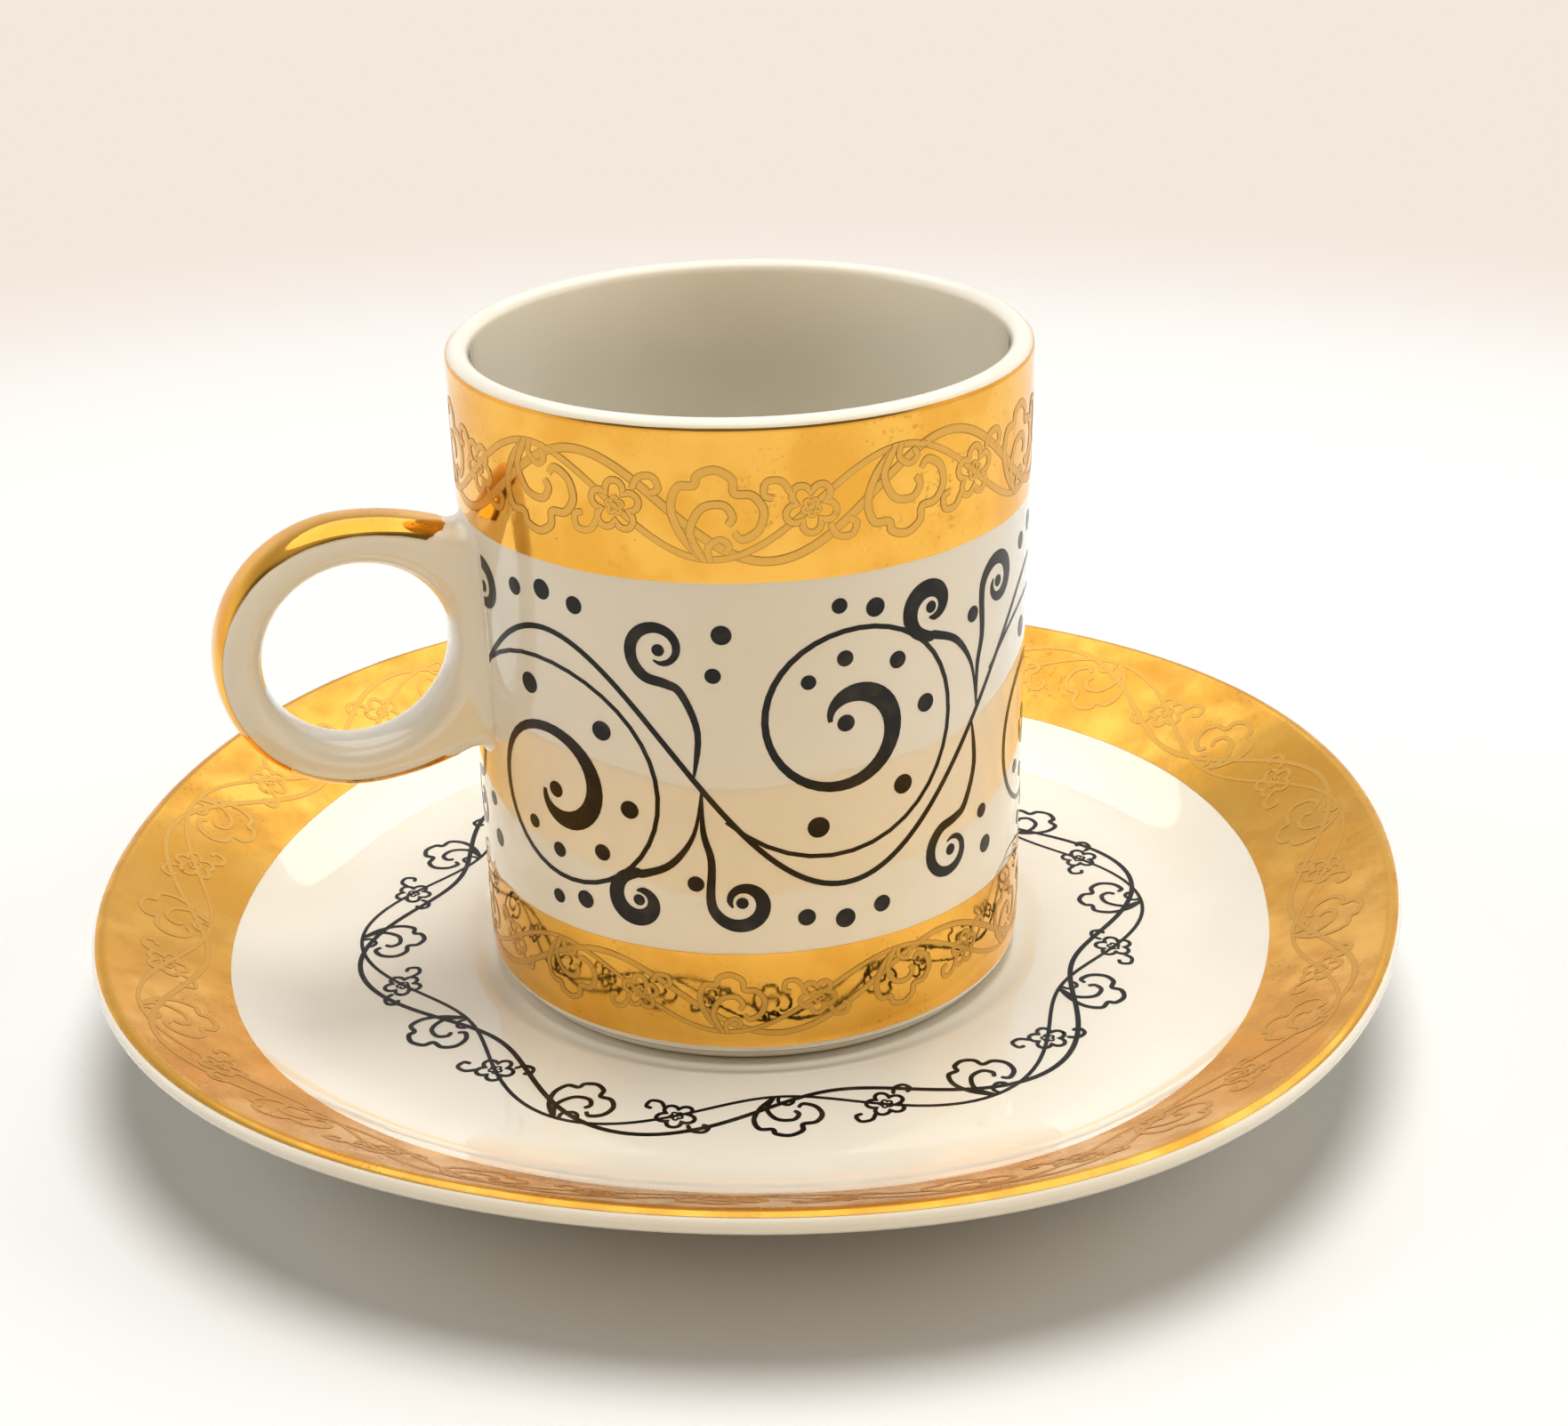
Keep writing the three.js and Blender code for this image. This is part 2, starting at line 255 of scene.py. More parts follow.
def spline(points, steps=7):
    """A smooth open curve through points of the plane."""
    padded = [points[0], *points, points[-1]]
    curve = []
    for index in range(1, len(padded) - 2):
        before, start, end, after = padded[index - 1:index + 3]
        for step in range(steps):
            t = step / steps
            weights = (
                (-t + 2 * t * t - t ** 3) / 2,
                (2 - 5 * t * t + 3 * t ** 3) / 2,
                (t + 4 * t * t - 3 * t ** 3) / 2,
                (t ** 3 - t * t) / 2,
            )
            corners = (before, start, end, after)
            curve.append(tuple(sum(w * p[axis] for w, p in zip(weights, corners)) for axis in (0, 1)))
    curve.append(tuple(points[-1]))
    return curve


def spiral(centre, start_radius, end_radius, start_degrees, turns, steps):
    """A spiral in the plane, whose radius changes fastest at its start. Negative turns run clockwise."""
    ease = 0.85
    points = []
    for step in range(steps + 1):
        share = step / steps
        radius = mix(start_radius, end_radius, share ** ease)
        turn = math.radians(start_degrees) + FULL_TURN * turns * share
        points.append((centre[0] + radius * math.cos(turn), centre[1] + radius * math.sin(turn)))
    return points


# Meshes

def new_piece(name, vertices, faces, material):
    """A smooth-shaded object of these faces, at the origin."""
    mesh = bpy.data.meshes.new(name)
    mesh.from_pydata(vertices, [], faces)
    mesh.validate()
    mesh.shade_smooth()
    mesh.set_sharp_from_angle(angle=SHARP_ANGLE)
    mesh.materials.append(material)
    piece = bpy.data.objects.new(name, mesh)
    bpy.context.scene.collection.objects.link(piece)
    return piece


def settle(piece, body, *nodes, slot=None):
    """Makes a finished piece ride on its body and stand for its nodes. Its slot is not used."""
    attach(piece, body)
    if nodes:
        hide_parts(*nodes)


def grid_faces(rows, columns, rows_close, columns_close):
    """Faces of a grid of vertices, row by row, that may close on itself both ways."""
    faces = []
    for row in range(rows if rows_close else rows - 1):
        above = (row + 1) % rows
        for column in range(columns if columns_close else columns - 1):
            beside = (column + 1) % columns
            faces.append((above * columns + column, above * columns + beside,
                          row * columns + beside, row * columns + column))
    return faces


def turned(name, profile, material, shape=None):
    """A piece turned on the Z axis from a profile that runs outwards, up and back in to the axis, or that
    closes on itself. A shape moves each ring's (radius, height) at an angle."""
    on_axis = profile[0][0] == 0
    ring = profile[1:-1] if on_axis else profile
    vertices = []
    for step in range(ROUND_STEPS):
        turn = FULL_TURN * step / ROUND_STEPS
        for place in ring:
            radius, height = shape(turn, *place) if shape else place
            vertices.append((radius * math.cos(turn), radius * math.sin(turn), height))
    faces = grid_faces(ROUND_STEPS, len(ring), True, not on_axis)
    if on_axis:
        low = len(vertices)
        high = low + 1
        vertices += [(0, 0, profile[0][1]), (0, 0, profile[-1][1])]
        size = len(ring)
        for step in range(ROUND_STEPS):
            beside = (step + 1) % ROUND_STEPS
            faces.append((low, beside * size, step * size))
            faces.append((high, step * size + size - 1, beside * size + size - 1))
    return new_piece(name, vertices, faces, material)


def skinned(name, rows, material):
    """A thin closed piece from rows of (upper, lower) vertex pairs, such as a gold layer on a curved face."""
    columns = len(rows[0])
    upper = [pair[0] for row in rows for pair in row]
    lower = [pair[1] for row in rows for pair in row]
    size = len(upper)
    grid = grid_faces(len(rows), columns, False, False)
    faces = [tuple(reversed(face)) for face in grid]
    faces += [tuple(size + index for index in face) for face in grid]
    rim = list(range(columns))
    rim += [row * columns + columns - 1 for row in range(1, len(rows))]
    rim += [(len(rows) - 1) * columns + column for column in range(columns - 2, -1, -1)]
    rim += [row * columns for row in range(len(rows) - 2, 0, -1)]
    for index, corner in enumerate(rim):
        beside = rim[(index + 1) % len(rim)]
        faces.append((beside, corner, size + corner, size + beside))
    return new_piece(name, upper + lower, faces, material)


# Strokes drawn flat, then wrapped round the cup or the saucer

class Drawing:
    """Flat strokes with a little thickness: x runs along the band, y across it and z off the surface."""

    SINK = 0.03 * MM
    STAGGER = 0.0004 * MM
    BROAD = 0.9 * MM
    END_EASE = 4

    def __init__(self, lift):
        self.lift = lift
        self.vertices = []
        self.faces = []
        self.across = []

    def rise(self):
        """A height of its own for each stroke, so that crossing strokes don't lie in one plane."""
        self.lift += self.STAGGER
        return self.lift

    def stroke(self, points, width, swell=0.0, taper=0.3, bias=1.0):
        """A ribbon along points: width at its ends times the taper, growing by the swell in between. A bias
        over 1 moves the swell towards the end."""
        start = len(self.vertices)
        top = self.rise()
        last = len(points) - 1
        strips = 4 if width + swell > self.BROAD else 2
        section = [(1 - 2 * strip / strips, top) for strip in range(strips + 1)]
        section += [(-1, -self.SINK), (1, -self.SINK)]
        ring = len(section)
        for index, (x, y) in enumerate(points):
            ahead = points[min(index + 1, last)]
            behind = points[max(index - 1, 0)]
            run = math.hypot(ahead[0] - behind[0], ahead[1] - behind[1]) or 1.0
            body = math.sin(math.pi * (index / last) ** bias)
            half = (width * mix(taper, 1.0, min(1.0, self.END_EASE * body)) + swell * body ** 2) / 2
            side_x = -(ahead[1] - behind[1]) / run * half
            side_y = (ahead[0] - behind[0]) / run * half
            for side, height in section:
                self.vertices.append((x + side * side_x, y + side * side_y, height))
                self.across.append((1 - side) / 2)
        for index in range(last):
            here = start + ring * index
            ahead = here + ring
            for corner in range(ring):
                beside = (corner + 1) % ring
                self.faces.append((here + beside, ahead + beside, ahead + corner, here + corner))
        end = start + ring * last
        self.faces.append(tuple(start + corner for corner in reversed(range(ring))))
        self.faces.append(tuple(end + corner for corner in range(ring)))

    def loop(self, points, width):
        """A closed ribbon through points, drawn as a stroke that ends on its own start."""
        self.stroke([*points, points[0], points[1]], width, taper=1.0)

    def dot(self, centre, radius, sides=20):
        """A round dot."""
        start = len(self.vertices)
        top = self.rise()
        for height in (top, -self.SINK):
            for step in range(sides):
                turn = FULL_TURN * step / sides
                place = (centre[0] + radius * math.cos(turn), centre[1] + radius * math.sin(turn), height)
                self.vertices.append(place)
        middle = len(self.vertices)
        self.vertices.append((*centre, top))
        self.across += [0.5] * (2 * sides + 1)
        self.faces.append(tuple(start + sides + step for step in reversed(range(sides))))
        for step in range(sides):
            beside = (step + 1) % sides
            self.faces.append((middle, start + step, start + beside))
            self.faces.append((start + beside, start + step, start + sides + step, start + sides + beside))

    def piece(self, name, material):
        """The drawing as a flat piece, with the place across each stroke kept as an attribute."""
        flat = new_piece(name, self.vertices, self.faces, material)
        flat.data.shade_flat()
        across = flat.data.attributes.new("across", "FLOAT", "POINT")
        across.data.foreach_set("value", self.across)
        return flat


# Leaf and flower of a vine, in half heights of the vine, and their places along a repeat
LEAF = (
    (-0.22, -0.76), (-0.52, -0.40), (-0.67, 0.02), (-0.57, 0.36), (-0.32, 0.40), (-0.26, 0.56), (0.0, 0.64),
    (0.24, 0.50), (0.28, 0.28), (0.54, 0.24), (0.70, 0.0), (0.62, -0.30), (0.38, -0.44), (0.26, -0.32))
LEAF_HOOK = ((-0.22, -0.74), (-0.40, -0.34), (-0.22, 0.04), (0.10, 0.10), (0.24, -0.08), (0.16, -0.22))
LEAF_CURL = ((-0.10, -0.80), (-0.14, -0.58), (0.04, -0.44), (0.18, -0.54), (0.12, -0.66))
FLOWER_HOOK = ((-0.30, -0.24), (-0.44, -0.44), (-0.66, -0.44), (-0.70, -0.24), (-0.56, -0.18))
FLOWER_TUFT = ((0.28, 0.28), (0.40, 0.48), (0.62, 0.50), (0.70, 0.32), (0.56, 0.24))
LEAF_AT = 0.43
FLOWER_AT = 0.168
# Stems: height of the wave, lead along the repeat and thickness
VINE_STEMS = ((0.80, -0.06, 1.0), (0.76, 0.085, 0.75))
VINE_STEPS = 48
# Rings of the flower: heart, spread of the petals and thickness
FLOWER_RINGS = ((0.22, 0.18, 0.8), (0.07, 0.07, 0.45))
# Open strokes: points, place and thickness
VINE_STROKES = (
    (LEAF, LEAF_AT, 0.95), (LEAF_HOOK, LEAF_AT, 0.9), (LEAF_CURL, LEAF_AT, 0.75),
    (FLOWER_HOOK, FLOWER_AT, 0.8), (FLOWER_TUFT, FLOWER_AT, 0.8))
VINE_STROKE_TAPER = 0.7
# The two halves of any repeat: which way up, and how far along
HALVES = ((1, 0.0), (-1, 0.5))


def placed(points, start, half, flip):
    """Points in half heights as points of the band, from a start along it; a flip of -1 turns them over."""
    return [(start + half * x, flip * half * y) for x, y in points]


def petals(heart, spread):
    """Outline of a five-petal flower, in half heights of its vine."""
    steps = 50
    petal_count = 5
    plumpness = 0.7
    tilt = 0.3
    outline = []
    for step in range(steps):
        turn = FULL_TURN * step / steps
        radius = heart + spread * abs(math.cos(petal_count / 2 * turn)) ** plumpness
        outline.append((radius * math.cos(turn + tilt), radius * math.sin(turn + tilt)))
    return outline


def draw_vine(drawing, span, half, width):
    """One repeat of a vine: two stems that weave round each other, with a flower and a lobed leaf in each
    bow of the waves. The second half is the first one upside down."""
    for height, lead, thick in VINE_STEMS:
        wave = []
        for step in range(VINE_STEPS + 1):
            share = step / VINE_STEPS
            wave.append((share * span, half * height * math.cos(FULL_TURN * (share + lead))))
        drawing.stroke(wave, width * thick, taper=1.0)
    for flip, offset in HALVES:
        for heart, spread, thick in FLOWER_RINGS:
            ring = placed(petals(heart, spread), (FLOWER_AT + offset) * span, half, flip)
            drawing.loop(ring, width * thick)
        for shape, at, thick in VINE_STROKES:
            points = placed(shape, (at + offset) * span, half, flip)
            drawing.stroke(spline(points), width * thick, taper=VINE_STROKE_TAPER)


# The black scrolls: places are in half heights of their field; strokes, swells and dots in stroke widths
THIN_STROKE = 0.9
STEM_STEPS = 40
STEM_HEIGHT = 0.70
COIL_SHIFT = 0.02
COIL_HEIGHT = -0.24
COIL_RADII = (0.84, 0.10)
COIL_START = 142
COIL_TURNS = -1.85
COIL_STEPS = 74
COIL_TURN_STEPS = round(COIL_STEPS / abs(COIL_TURNS))
COIL_SWELL = 2.3
COIL_BIAS = 3.2
COIL_TAPER = 0.8
HEART_SHIFT = 0.01
HEART_DOT = 1.35
# Dots strung between the coil's turns: steps along it, share of the way inwards, first and last size
STRING_PLACES = (4, 10, 16, 21, 26, 30)
STRING_SHARE = 0.42
STRING_DOTS = (1.7, 1.15)
LOOSE_DOTS = (
    ((0.02, 0.66), 1.3), ((-0.66, 0.88), 1.5), ((-0.86, 0.92), 1.2), ((0.62, 0.88), 1.4),
    ((0.84, 0.92), 1.6), ((1.06, 0.88), 1.4), ((0.20, -0.80), 1.5), ((0.15, -0.57), 1.2))
# Tendrils: the way to the curl, its centre, radius, first angle and turns, then width, swell and bias
TENDRILS = (
    (((0.07, 0.09), (0.02, 0.36), (-0.11, 0.55), (-0.27, 0.63)),
     (-0.31, 0.80), 0.175, -76, -1.12, 1.0, 1.9, 1.2),
    (((0.07, 0.09), (0.07, 0.34), (0.11, 0.52)),
     (0.27, 0.77), 0.18, 205, -1.2, 0.9, 1.4, 1.0),
    (((0.03, 0.03), (0.06, -0.24), (-0.02, -0.46)),
     (-0.135, -0.70), 0.20, 62, 1.2, 0.85, 1.0, 0.8))
TENDRIL_STEPS = 5
CURL_STEPS = 24
CURL_END = 0.3
CURL_DOT = 0.95


def scroll_dots(coil, heart):
    """Places and sizes of the dots in half a repeat."""
    dots = [((heart[0] - HEART_SHIFT, heart[1] - HEART_SHIFT), HEART_DOT), *LOOSE_DOTS]
    for order, index in enumerate(STRING_PLACES):
        near = coil[index]
        far = coil[index + COIL_TURN_STEPS]
        place = (mix(near[0], far[0], STRING_SHARE), mix(near[1], far[1], STRING_SHARE))
        dots.append((place, mix(*STRING_DOTS, order / (len(STRING_PLACES) - 1))))
    return dots + [(tendril[1], CURL_DOT) for tendril in TENDRILS]


def draw_scrolls(drawing, span, half, width):
    """One repeat of the black brush scrolls: a long stem that waves up and down, with a coil in each bow,
    tendrils that end in curls, and dots. The second half is the first one upside down."""
    reach = 0.5 * span / half
    shares = [step / STEM_STEPS for step in range(STEM_STEPS + 1)]
    stem = [(reach * share, STEM_HEIGHT * math.sin(math.pi * share)) for share in shares]
    heart = (0.5 * reach + COIL_SHIFT, COIL_HEIGHT)
    coil = spiral(heart, *COIL_RADII, COIL_START, COIL_TURNS, COIL_STEPS)
    thin = THIN_STROKE * width
    for flip, offset in HALVES:
        spot = (offset * span, half, flip)
        drawing.stroke(placed(stem, *spot), thin, taper=1.0)
        drawing.stroke(placed(coil, *spot), thin, swell=COIL_SWELL * width, bias=COIL_BIAS, taper=COIL_TAPER)
        for way, centre, size, first_angle, turns, thick, swell, bias in TENDRILS:
            curl = spiral(centre, size, CURL_END * size, first_angle, turns, CURL_STEPS)
            path = spline(placed([*way, *curl[1::2]], *spot), TENDRIL_STEPS)
            drawing.stroke(path, thick * width, swell=swell * width, bias=bias)
        for place, size in scroll_dots(coil, heart):
            drawing.dot(placed([place], *spot)[0], size * width)


# Node trees and finishes

class Signal:
    """A node's output that takes part in Python arithmetic: each operator adds one Math node."""

    def __init__(self, graph, socket):
        self.graph = graph
        self.socket = socket

    def __add__(self, other):
        return self.graph.math("ADD", self, other)

    def __radd__(self, other):
        return self.graph.math("ADD", other, self)

    def __sub__(self, other):
        return self.graph.math("SUBTRACT", self, other)

    def __rsub__(self, other):
        return self.graph.math("SUBTRACT", other, self)

    def __mul__(self, other):
        return self.graph.math("MULTIPLY", self, other)

    def __rmul__(self, other):
        return self.graph.math("MULTIPLY", other, self)

    def __truediv__(self, other):
        return self.graph.math("DIVIDE", self, other)

    def __rtruediv__(self, other):
        return self.graph.math("DIVIDE", other, self)


class Graph:
    """A node tree that is built by one method and by arithmetic on its signals."""

    def __init__(self, tree):
        self.tree = tree
        tree.nodes.clear()

    def node(self, kind, settings=None, **sockets):
        """A node of this type: its settings first, then its sockets' values or links, by name or index."""
        made = self.tree.nodes.new(kind)
        for name, value in (settings or {}).items():
            setattr(made, name, value)
        for name, value in sockets.items():
            key = int(name[1:]) if name[0] == "i" and name[1:].isdigit() else name.replace("_", " ")
            self.feed(made.inputs[key], value)
        return made

    def feed(self, socket, value):
        """Links a signal to a socket, or sets a plain value on it."""
        if isinstance(value, Signal):
            self.tree.links.new(value.socket, socket)
        elif socket.type == "RGBA":
            socket.default_value = (*value, 1.0)[:4]
        else:
            socket.default_value = value

    def out(self, made, name=0):
        """One output of a node as a signal."""
        return Signal(self, made.outputs[name])

    def math(self, operation, *values):
        """The result of a Math node."""
        sockets = {f"i{index}": value for index, value in enumerate(values)}
        return self.out(self.node("ShaderNodeMath", {"operation": operation}, **sockets))

    def rise(self, signal, low, high):
        """0 below low and 1 above high, easing in between; high may be below low."""
        settings = {"interpolation_type": "SMOOTHSTEP"}
        return self.out(self.node("ShaderNodeMapRange", settings, Value=signal, From_Min=low, From_Max=high))

    def blend(self, share, first, second):
        """A colour between two, by a share."""
        made = self.node("ShaderNodeMix", {"data_type": "RGBA"}, i0=share, i6=first, i7=second)
        return self.out(made, 2)

    def noise(self, place, size, detail=2.0):
        """Soft noise with features of about this size in metres."""
        return self.out(self.node("ShaderNodeTexNoise", Vector=place, Scale=1 / size, Detail=detail))

    def place(self, scale=(1, 1, 1)):
        """Object coordinates, stretched by a scale."""
        coordinates = self.out(self.node("ShaderNodeTexCoord"), "Object")
        return self.out(self.node("ShaderNodeMapping", Vector=coordinates, Scale=scale))

    def specks(self, place, spacing, radius, share):
        """1 on small scattered specks: a share of the cells of this spacing holds one of this radius."""
        cells = self.node("ShaderNodeTexVoronoi", Vector=place, Scale=1 / spacing)
        chance = self.out(self.node("ShaderNodeSeparateColor", i0=self.out(cells, "Color")))
        near = self.rise(self.out(cells, "Distance"), radius / spacing, 0.5 * radius / spacing)
        return near * self.math("GREATER_THAN", chance, 1 - share)

    def bump(self, height, strength, distance):
        """A normal bent by a height."""
        made = self.node("ShaderNodeBump", Height=height, Strength=strength, Distance=distance)
        return self.out(made)

    def seen(self):
        """1 for the rays that look at a background, from the camera or by way of a reflection."""
        path = self.node("ShaderNodeLightPath")
        names = ("Camera", "Glossy", "Transmission")
        camera, glossy, through = (self.out(path, f"Is {name} Ray") for name in names)
        return self.math("MAXIMUM", self.math("MAXIMUM", camera, glossy), through)

    def finish(self, **sockets):
        """The surface of a material, ended by its output."""
        surface = self.node("ShaderNodeBsdfPrincipled", **sockets)
        self.node("ShaderNodeOutputMaterial", Surface=self.out(surface))


def new_material(name):
    """An empty node material and its graph."""
    material = bpy.data.materials.get(name) or bpy.data.materials.new(name)
    material.use_nodes = True
    return material, Graph(material.node_tree)


def porcelain_glaze():
    """White glossy glaze: faint mottling, a few iron specks, and a skin that isn't quite level."""
    look = bpy.context.scene.espresso_finishes
    material, graph = new_material("porcelain_glaze")
    place = graph.place()
    mottle = graph.rise(graph.noise(place, 14 * MM, 3.0), 0.42, 0.72)
    body = graph.blend(mottle * 0.6, look.glaze, look.glaze_shade)
    specks = graph.specks(place, 9 * MM, 0.16 * MM, 0.06)
    skin = graph.noise(place, 3.5 * MM, 2.0)
    graph.finish(
        Base_Color=graph.blend(specks * 0.75, body, look.speck),
        Roughness=0.03 + 0.05 * graph.noise(place, 8 * MM),
        Normal=graph.bump(skin, 0.05, 0.2 * MM),
        Coat_Weight=1.0, Coat_Roughness=0.02, IOR=1.54)
    return material


def burnished_gold(name="burnished_gold", handled=0.0):
    """Bright fired gold: thicker and thinner places, pits, hairline scratches and a slight ripple. Handling
    dulls it in clouds."""
    look = bpy.context.scene.espresso_finishes
    material, graph = new_material(name)
    place = graph.place()
    thick = graph.rise(graph.noise(place, 7 * MM, 4.0), 0.40, 0.66)
    pits = graph.specks(place, 2.6 * MM, 0.11 * MM, 0.30)
    hairs = graph.rise(graph.noise(graph.place((1, 1, 0.04)), 0.22 * MM, 1.0), 0.70, 0.78)
    rubbed = graph.rise(graph.noise(place, 0.5 * MM, 3.0), 0.56, 0.70)
    rubbed = rubbed * graph.rise(graph.noise(place, 9 * MM, 2.0), 0.48, 0.66)
    colour_of_gold = graph.blend(thick, look.gold, look.gold_deep)
    colour_of_gold = graph.blend(rubbed * 0.35, colour_of_gold, look.outline)
    clouds = handled * graph.rise(graph.noise(place, 4.5 * MM, 4.0), 0.36, 0.68)
    colour_of_gold = graph.blend(clouds * 0.55, colour_of_gold, look.gold_dull)
    ripple = graph.noise(place, 2.2 * MM, 3.0)
    roughness = 0.05 + 0.13 * handled + 0.06 * thick + 0.12 * hairs
    roughness = roughness + 0.25 * pits + 0.15 * rubbed + 0.10 * clouds
    graph.finish(
        Base_Color=graph.blend(pits * 0.7, colour_of_gold, look.outline),
        Metallic=1.0,
        Roughness=roughness,
        Normal=graph.bump(ripple - pits * 0.6, 0.10, 0.15 * MM))
    return material


def etched_gold(name="etched_gold", edge_depth=1.0):
    """Matte gold inside an etched line, with a dark edge along both of its sides."""
    look = bpy.context.scene.espresso_finishes
    material, graph = new_material(name)
    place = graph.place()
    across = graph.out(graph.node("ShaderNodeAttribute", {"attribute_name": "across"}), "Fac")
    edge = graph.rise(graph.math("ABSOLUTE", across - 0.5), 0.34, 0.46)
    grain = graph.noise(place, 0.35 * MM, 2.0)
    worn = graph.rise(graph.noise(place, 5 * MM, 3.0), 0.38, 0.62)
    graph.finish(
        Base_Color=graph.blend(edge * edge_depth * (0.45 + 0.45 * worn), look.etched, look.outline),
        Metallic=1.0,
        Roughness=0.30 + 0.12 * grain,
        Normal=graph.bump(grain, 0.25, 0.05 * MM))
    return material


def black_ink():
    """Black print under the glaze: near black, a little brown where it lies thin."""
    look = bpy.context.scene.espresso_finishes
    material, graph = new_material("black_ink")
    place = graph.place()
    thin = graph.rise(graph.noise(place, 2.4 * MM, 3.0), 0.45, 0.75)
    graph.finish(
        Base_Color=graph.blend(thin, look.ink, look.ink_thin),
        Roughness=0.12 + 0.10 * graph.noise(place, 4 * MM),
        Normal=graph.bump(thin, 0.05, 0.05 * MM),
        Specular_IOR_Level=0.25)
    return material


# Wrapping drawings round the axis

WRAP_INPUTS = (
    ("Count", "NodeSocketInt"), ("Pitch", "NodeSocketFloat"), ("Start", "NodeSocketFloat"),
    ("Radius", "NodeSocketFloat"), ("Height", "NodeSocketFloat"), ("Lean", "NodeSocketFloat"),
    ("Rise", "NodeSocketFloat"), ("Lobe", "NodeSocketFloat"), ("Lobe Turn", "NodeSocketFloat"),
    ("Finish", "NodeSocketMaterial"))


def wrap_tree():
    """A Geometry Nodes tree that repeats a flat drawing and wraps it round the Z axis. Across the drawing,
    a point moves by Lean in radius and Rise in height, and its thickness stands square to that."""
    name = "wrap_round_axis"
    if name in bpy.data.node_groups:
        return bpy.data.node_groups[name]
    tree = bpy.data.node_groups.new(name, "GeometryNodeTree")
    tree.interface.new_socket("Geometry", in_out="INPUT", socket_type="NodeSocketGeometry")
    for socket_name, kind in WRAP_INPUTS:
        tree.interface.new_socket(socket_name, in_out="INPUT", socket_type=kind)
    tree.interface.new_socket("Geometry", in_out="OUTPUT", socket_type="NodeSocketGeometry")
    graph = Graph(tree)
    entry = graph.node("NodeGroupInput")
    given = {socket_name: graph.out(entry, socket_name) for socket_name, _ in WRAP_INPUTS}
    step = graph.out(graph.node("ShaderNodeCombineXYZ", X=given["Pitch"]))
    row = graph.node("GeometryNodeMeshLine", {"mode": "OFFSET"}, Count=given["Count"], Offset=step)
    copies = graph.node(
        "GeometryNodeInstanceOnPoints", Points=graph.out(row), Instance=graph.out(entry, "Geometry"))
    flat = graph.out(graph.node("GeometryNodeRealizeInstances", Geometry=graph.out(copies)))
    place = graph.node("ShaderNodeSeparateXYZ", Vector=graph.out(graph.node("GeometryNodeInputPosition")))
    along, across, off = (graph.out(place, axis) for axis in "XYZ")
    turn = along / given["Radius"] + given["Start"]
    reach = given["Radius"] + given["Lean"] * across + given["Rise"] * off
    swell = graph.math("COSINE", 4 * (turn - given["Lobe Turn"]))
    radius = reach * (1 + given["Lobe"] * swell)
    height = given["Height"] + given["Rise"] * across - given["Lean"] * off
    wrapped = graph.node(
        "ShaderNodeCombineXYZ",
        X=radius * graph.math("COSINE", turn), Y=radius * graph.math("SINE", turn), Z=height)
    moved = graph.node("GeometryNodeSetPosition", Geometry=flat, Position=graph.out(wrapped))
    painted = graph.node("GeometryNodeSetMaterial", Geometry=graph.out(moved), Material=given["Finish"])
    graph.node("NodeGroupOutput", Geometry=graph.out(painted))
    return tree


def wrap(piece, **values):
    """Wraps a flat drawing by the tree and keeps the result as the piece's plain mesh."""
    modifier = piece.modifiers.new("wrap", "NODES")
    modifier.node_group = wrap_tree()
    for item in modifier.node_group.interface.items_tree:
        key = item.name.lower().replace(" ", "_")
        if item.in_out == "INPUT" and key in values:
            modifier[item.identifier] = values[key]
    evaluated = piece.evaluated_get(bpy.context.evaluated_depsgraph_get())
    mesh = bpy.data.meshes.new_from_object(evaluated)
    piece.modifiers.clear()
    piece.data = mesh
    mesh.name = piece.name
    return piece


def laid_round(name, finish, draw, half, width, lift, repeats, radius, **place):
    """A drawing of this half height and stroke width, repeated round the axis at a radius."""
    pitch = FULL_TURN * radius / repeats
    drawing = Drawing(lift)
    draw(drawing, pitch, half, width)
    flat = drawing.piece(name, finish)
    return wrap(flat, count=repeats, pitch=pitch, radius=radius, finish=finish, **place)


# Forms of the cup and the saucer

def wall_radius(cup, height):
    """Outer radius of the cup's wall at a height over the table."""
    return mix(cup.base_radius, cup.rim_radius, (height - cup.foot_z) / (cup.lip_z - cup.foot_z))


def wall_taper(cup):
    """How much the cup's wall widens for each metre of height."""
    return (cup.rim_radius - cup.base_radius) / (cup.lip_z - cup.foot_z)


def cup_profile(cup):
    """The cup's section, from the middle of its underside out, up, over the lip and in to its floor."""
    chamfer = 0.25 * MM
    flank = 0.5 * MM
    base_turn = -70
    base = cup.foot_z + cup.foot_height + cup.base_round
    wall = wall_radius(cup, base)
    foot_in = cup.foot_radius - cup.foot_width
    lip_round = cup.wall / 2
    lip = (cup.rim_radius - lip_round, cup.lip_z - lip_round)
    inner = (wall - cup.wall - cup.inner_round, cup.foot_z + cup.floor + cup.inner_round)
    return joined(
        [(0, cup.foot_z + cup.foot_height)],
        [(foot_in - flank, cup.foot_z + cup.foot_height)],
        [(foot_in, cup.foot_z), (cup.foot_radius - chamfer, cup.foot_z)],
        [(cup.foot_radius, cup.foot_z + chamfer)],
        arc((wall - cup.base_round, base), cup.base_round, base_turn, 0),
        arc(lip, lip_round, 0, 180, 20),
        arc(inner, cup.inner_round, 0, -90, 16),
        [(0, cup.foot_z + cup.floor)])


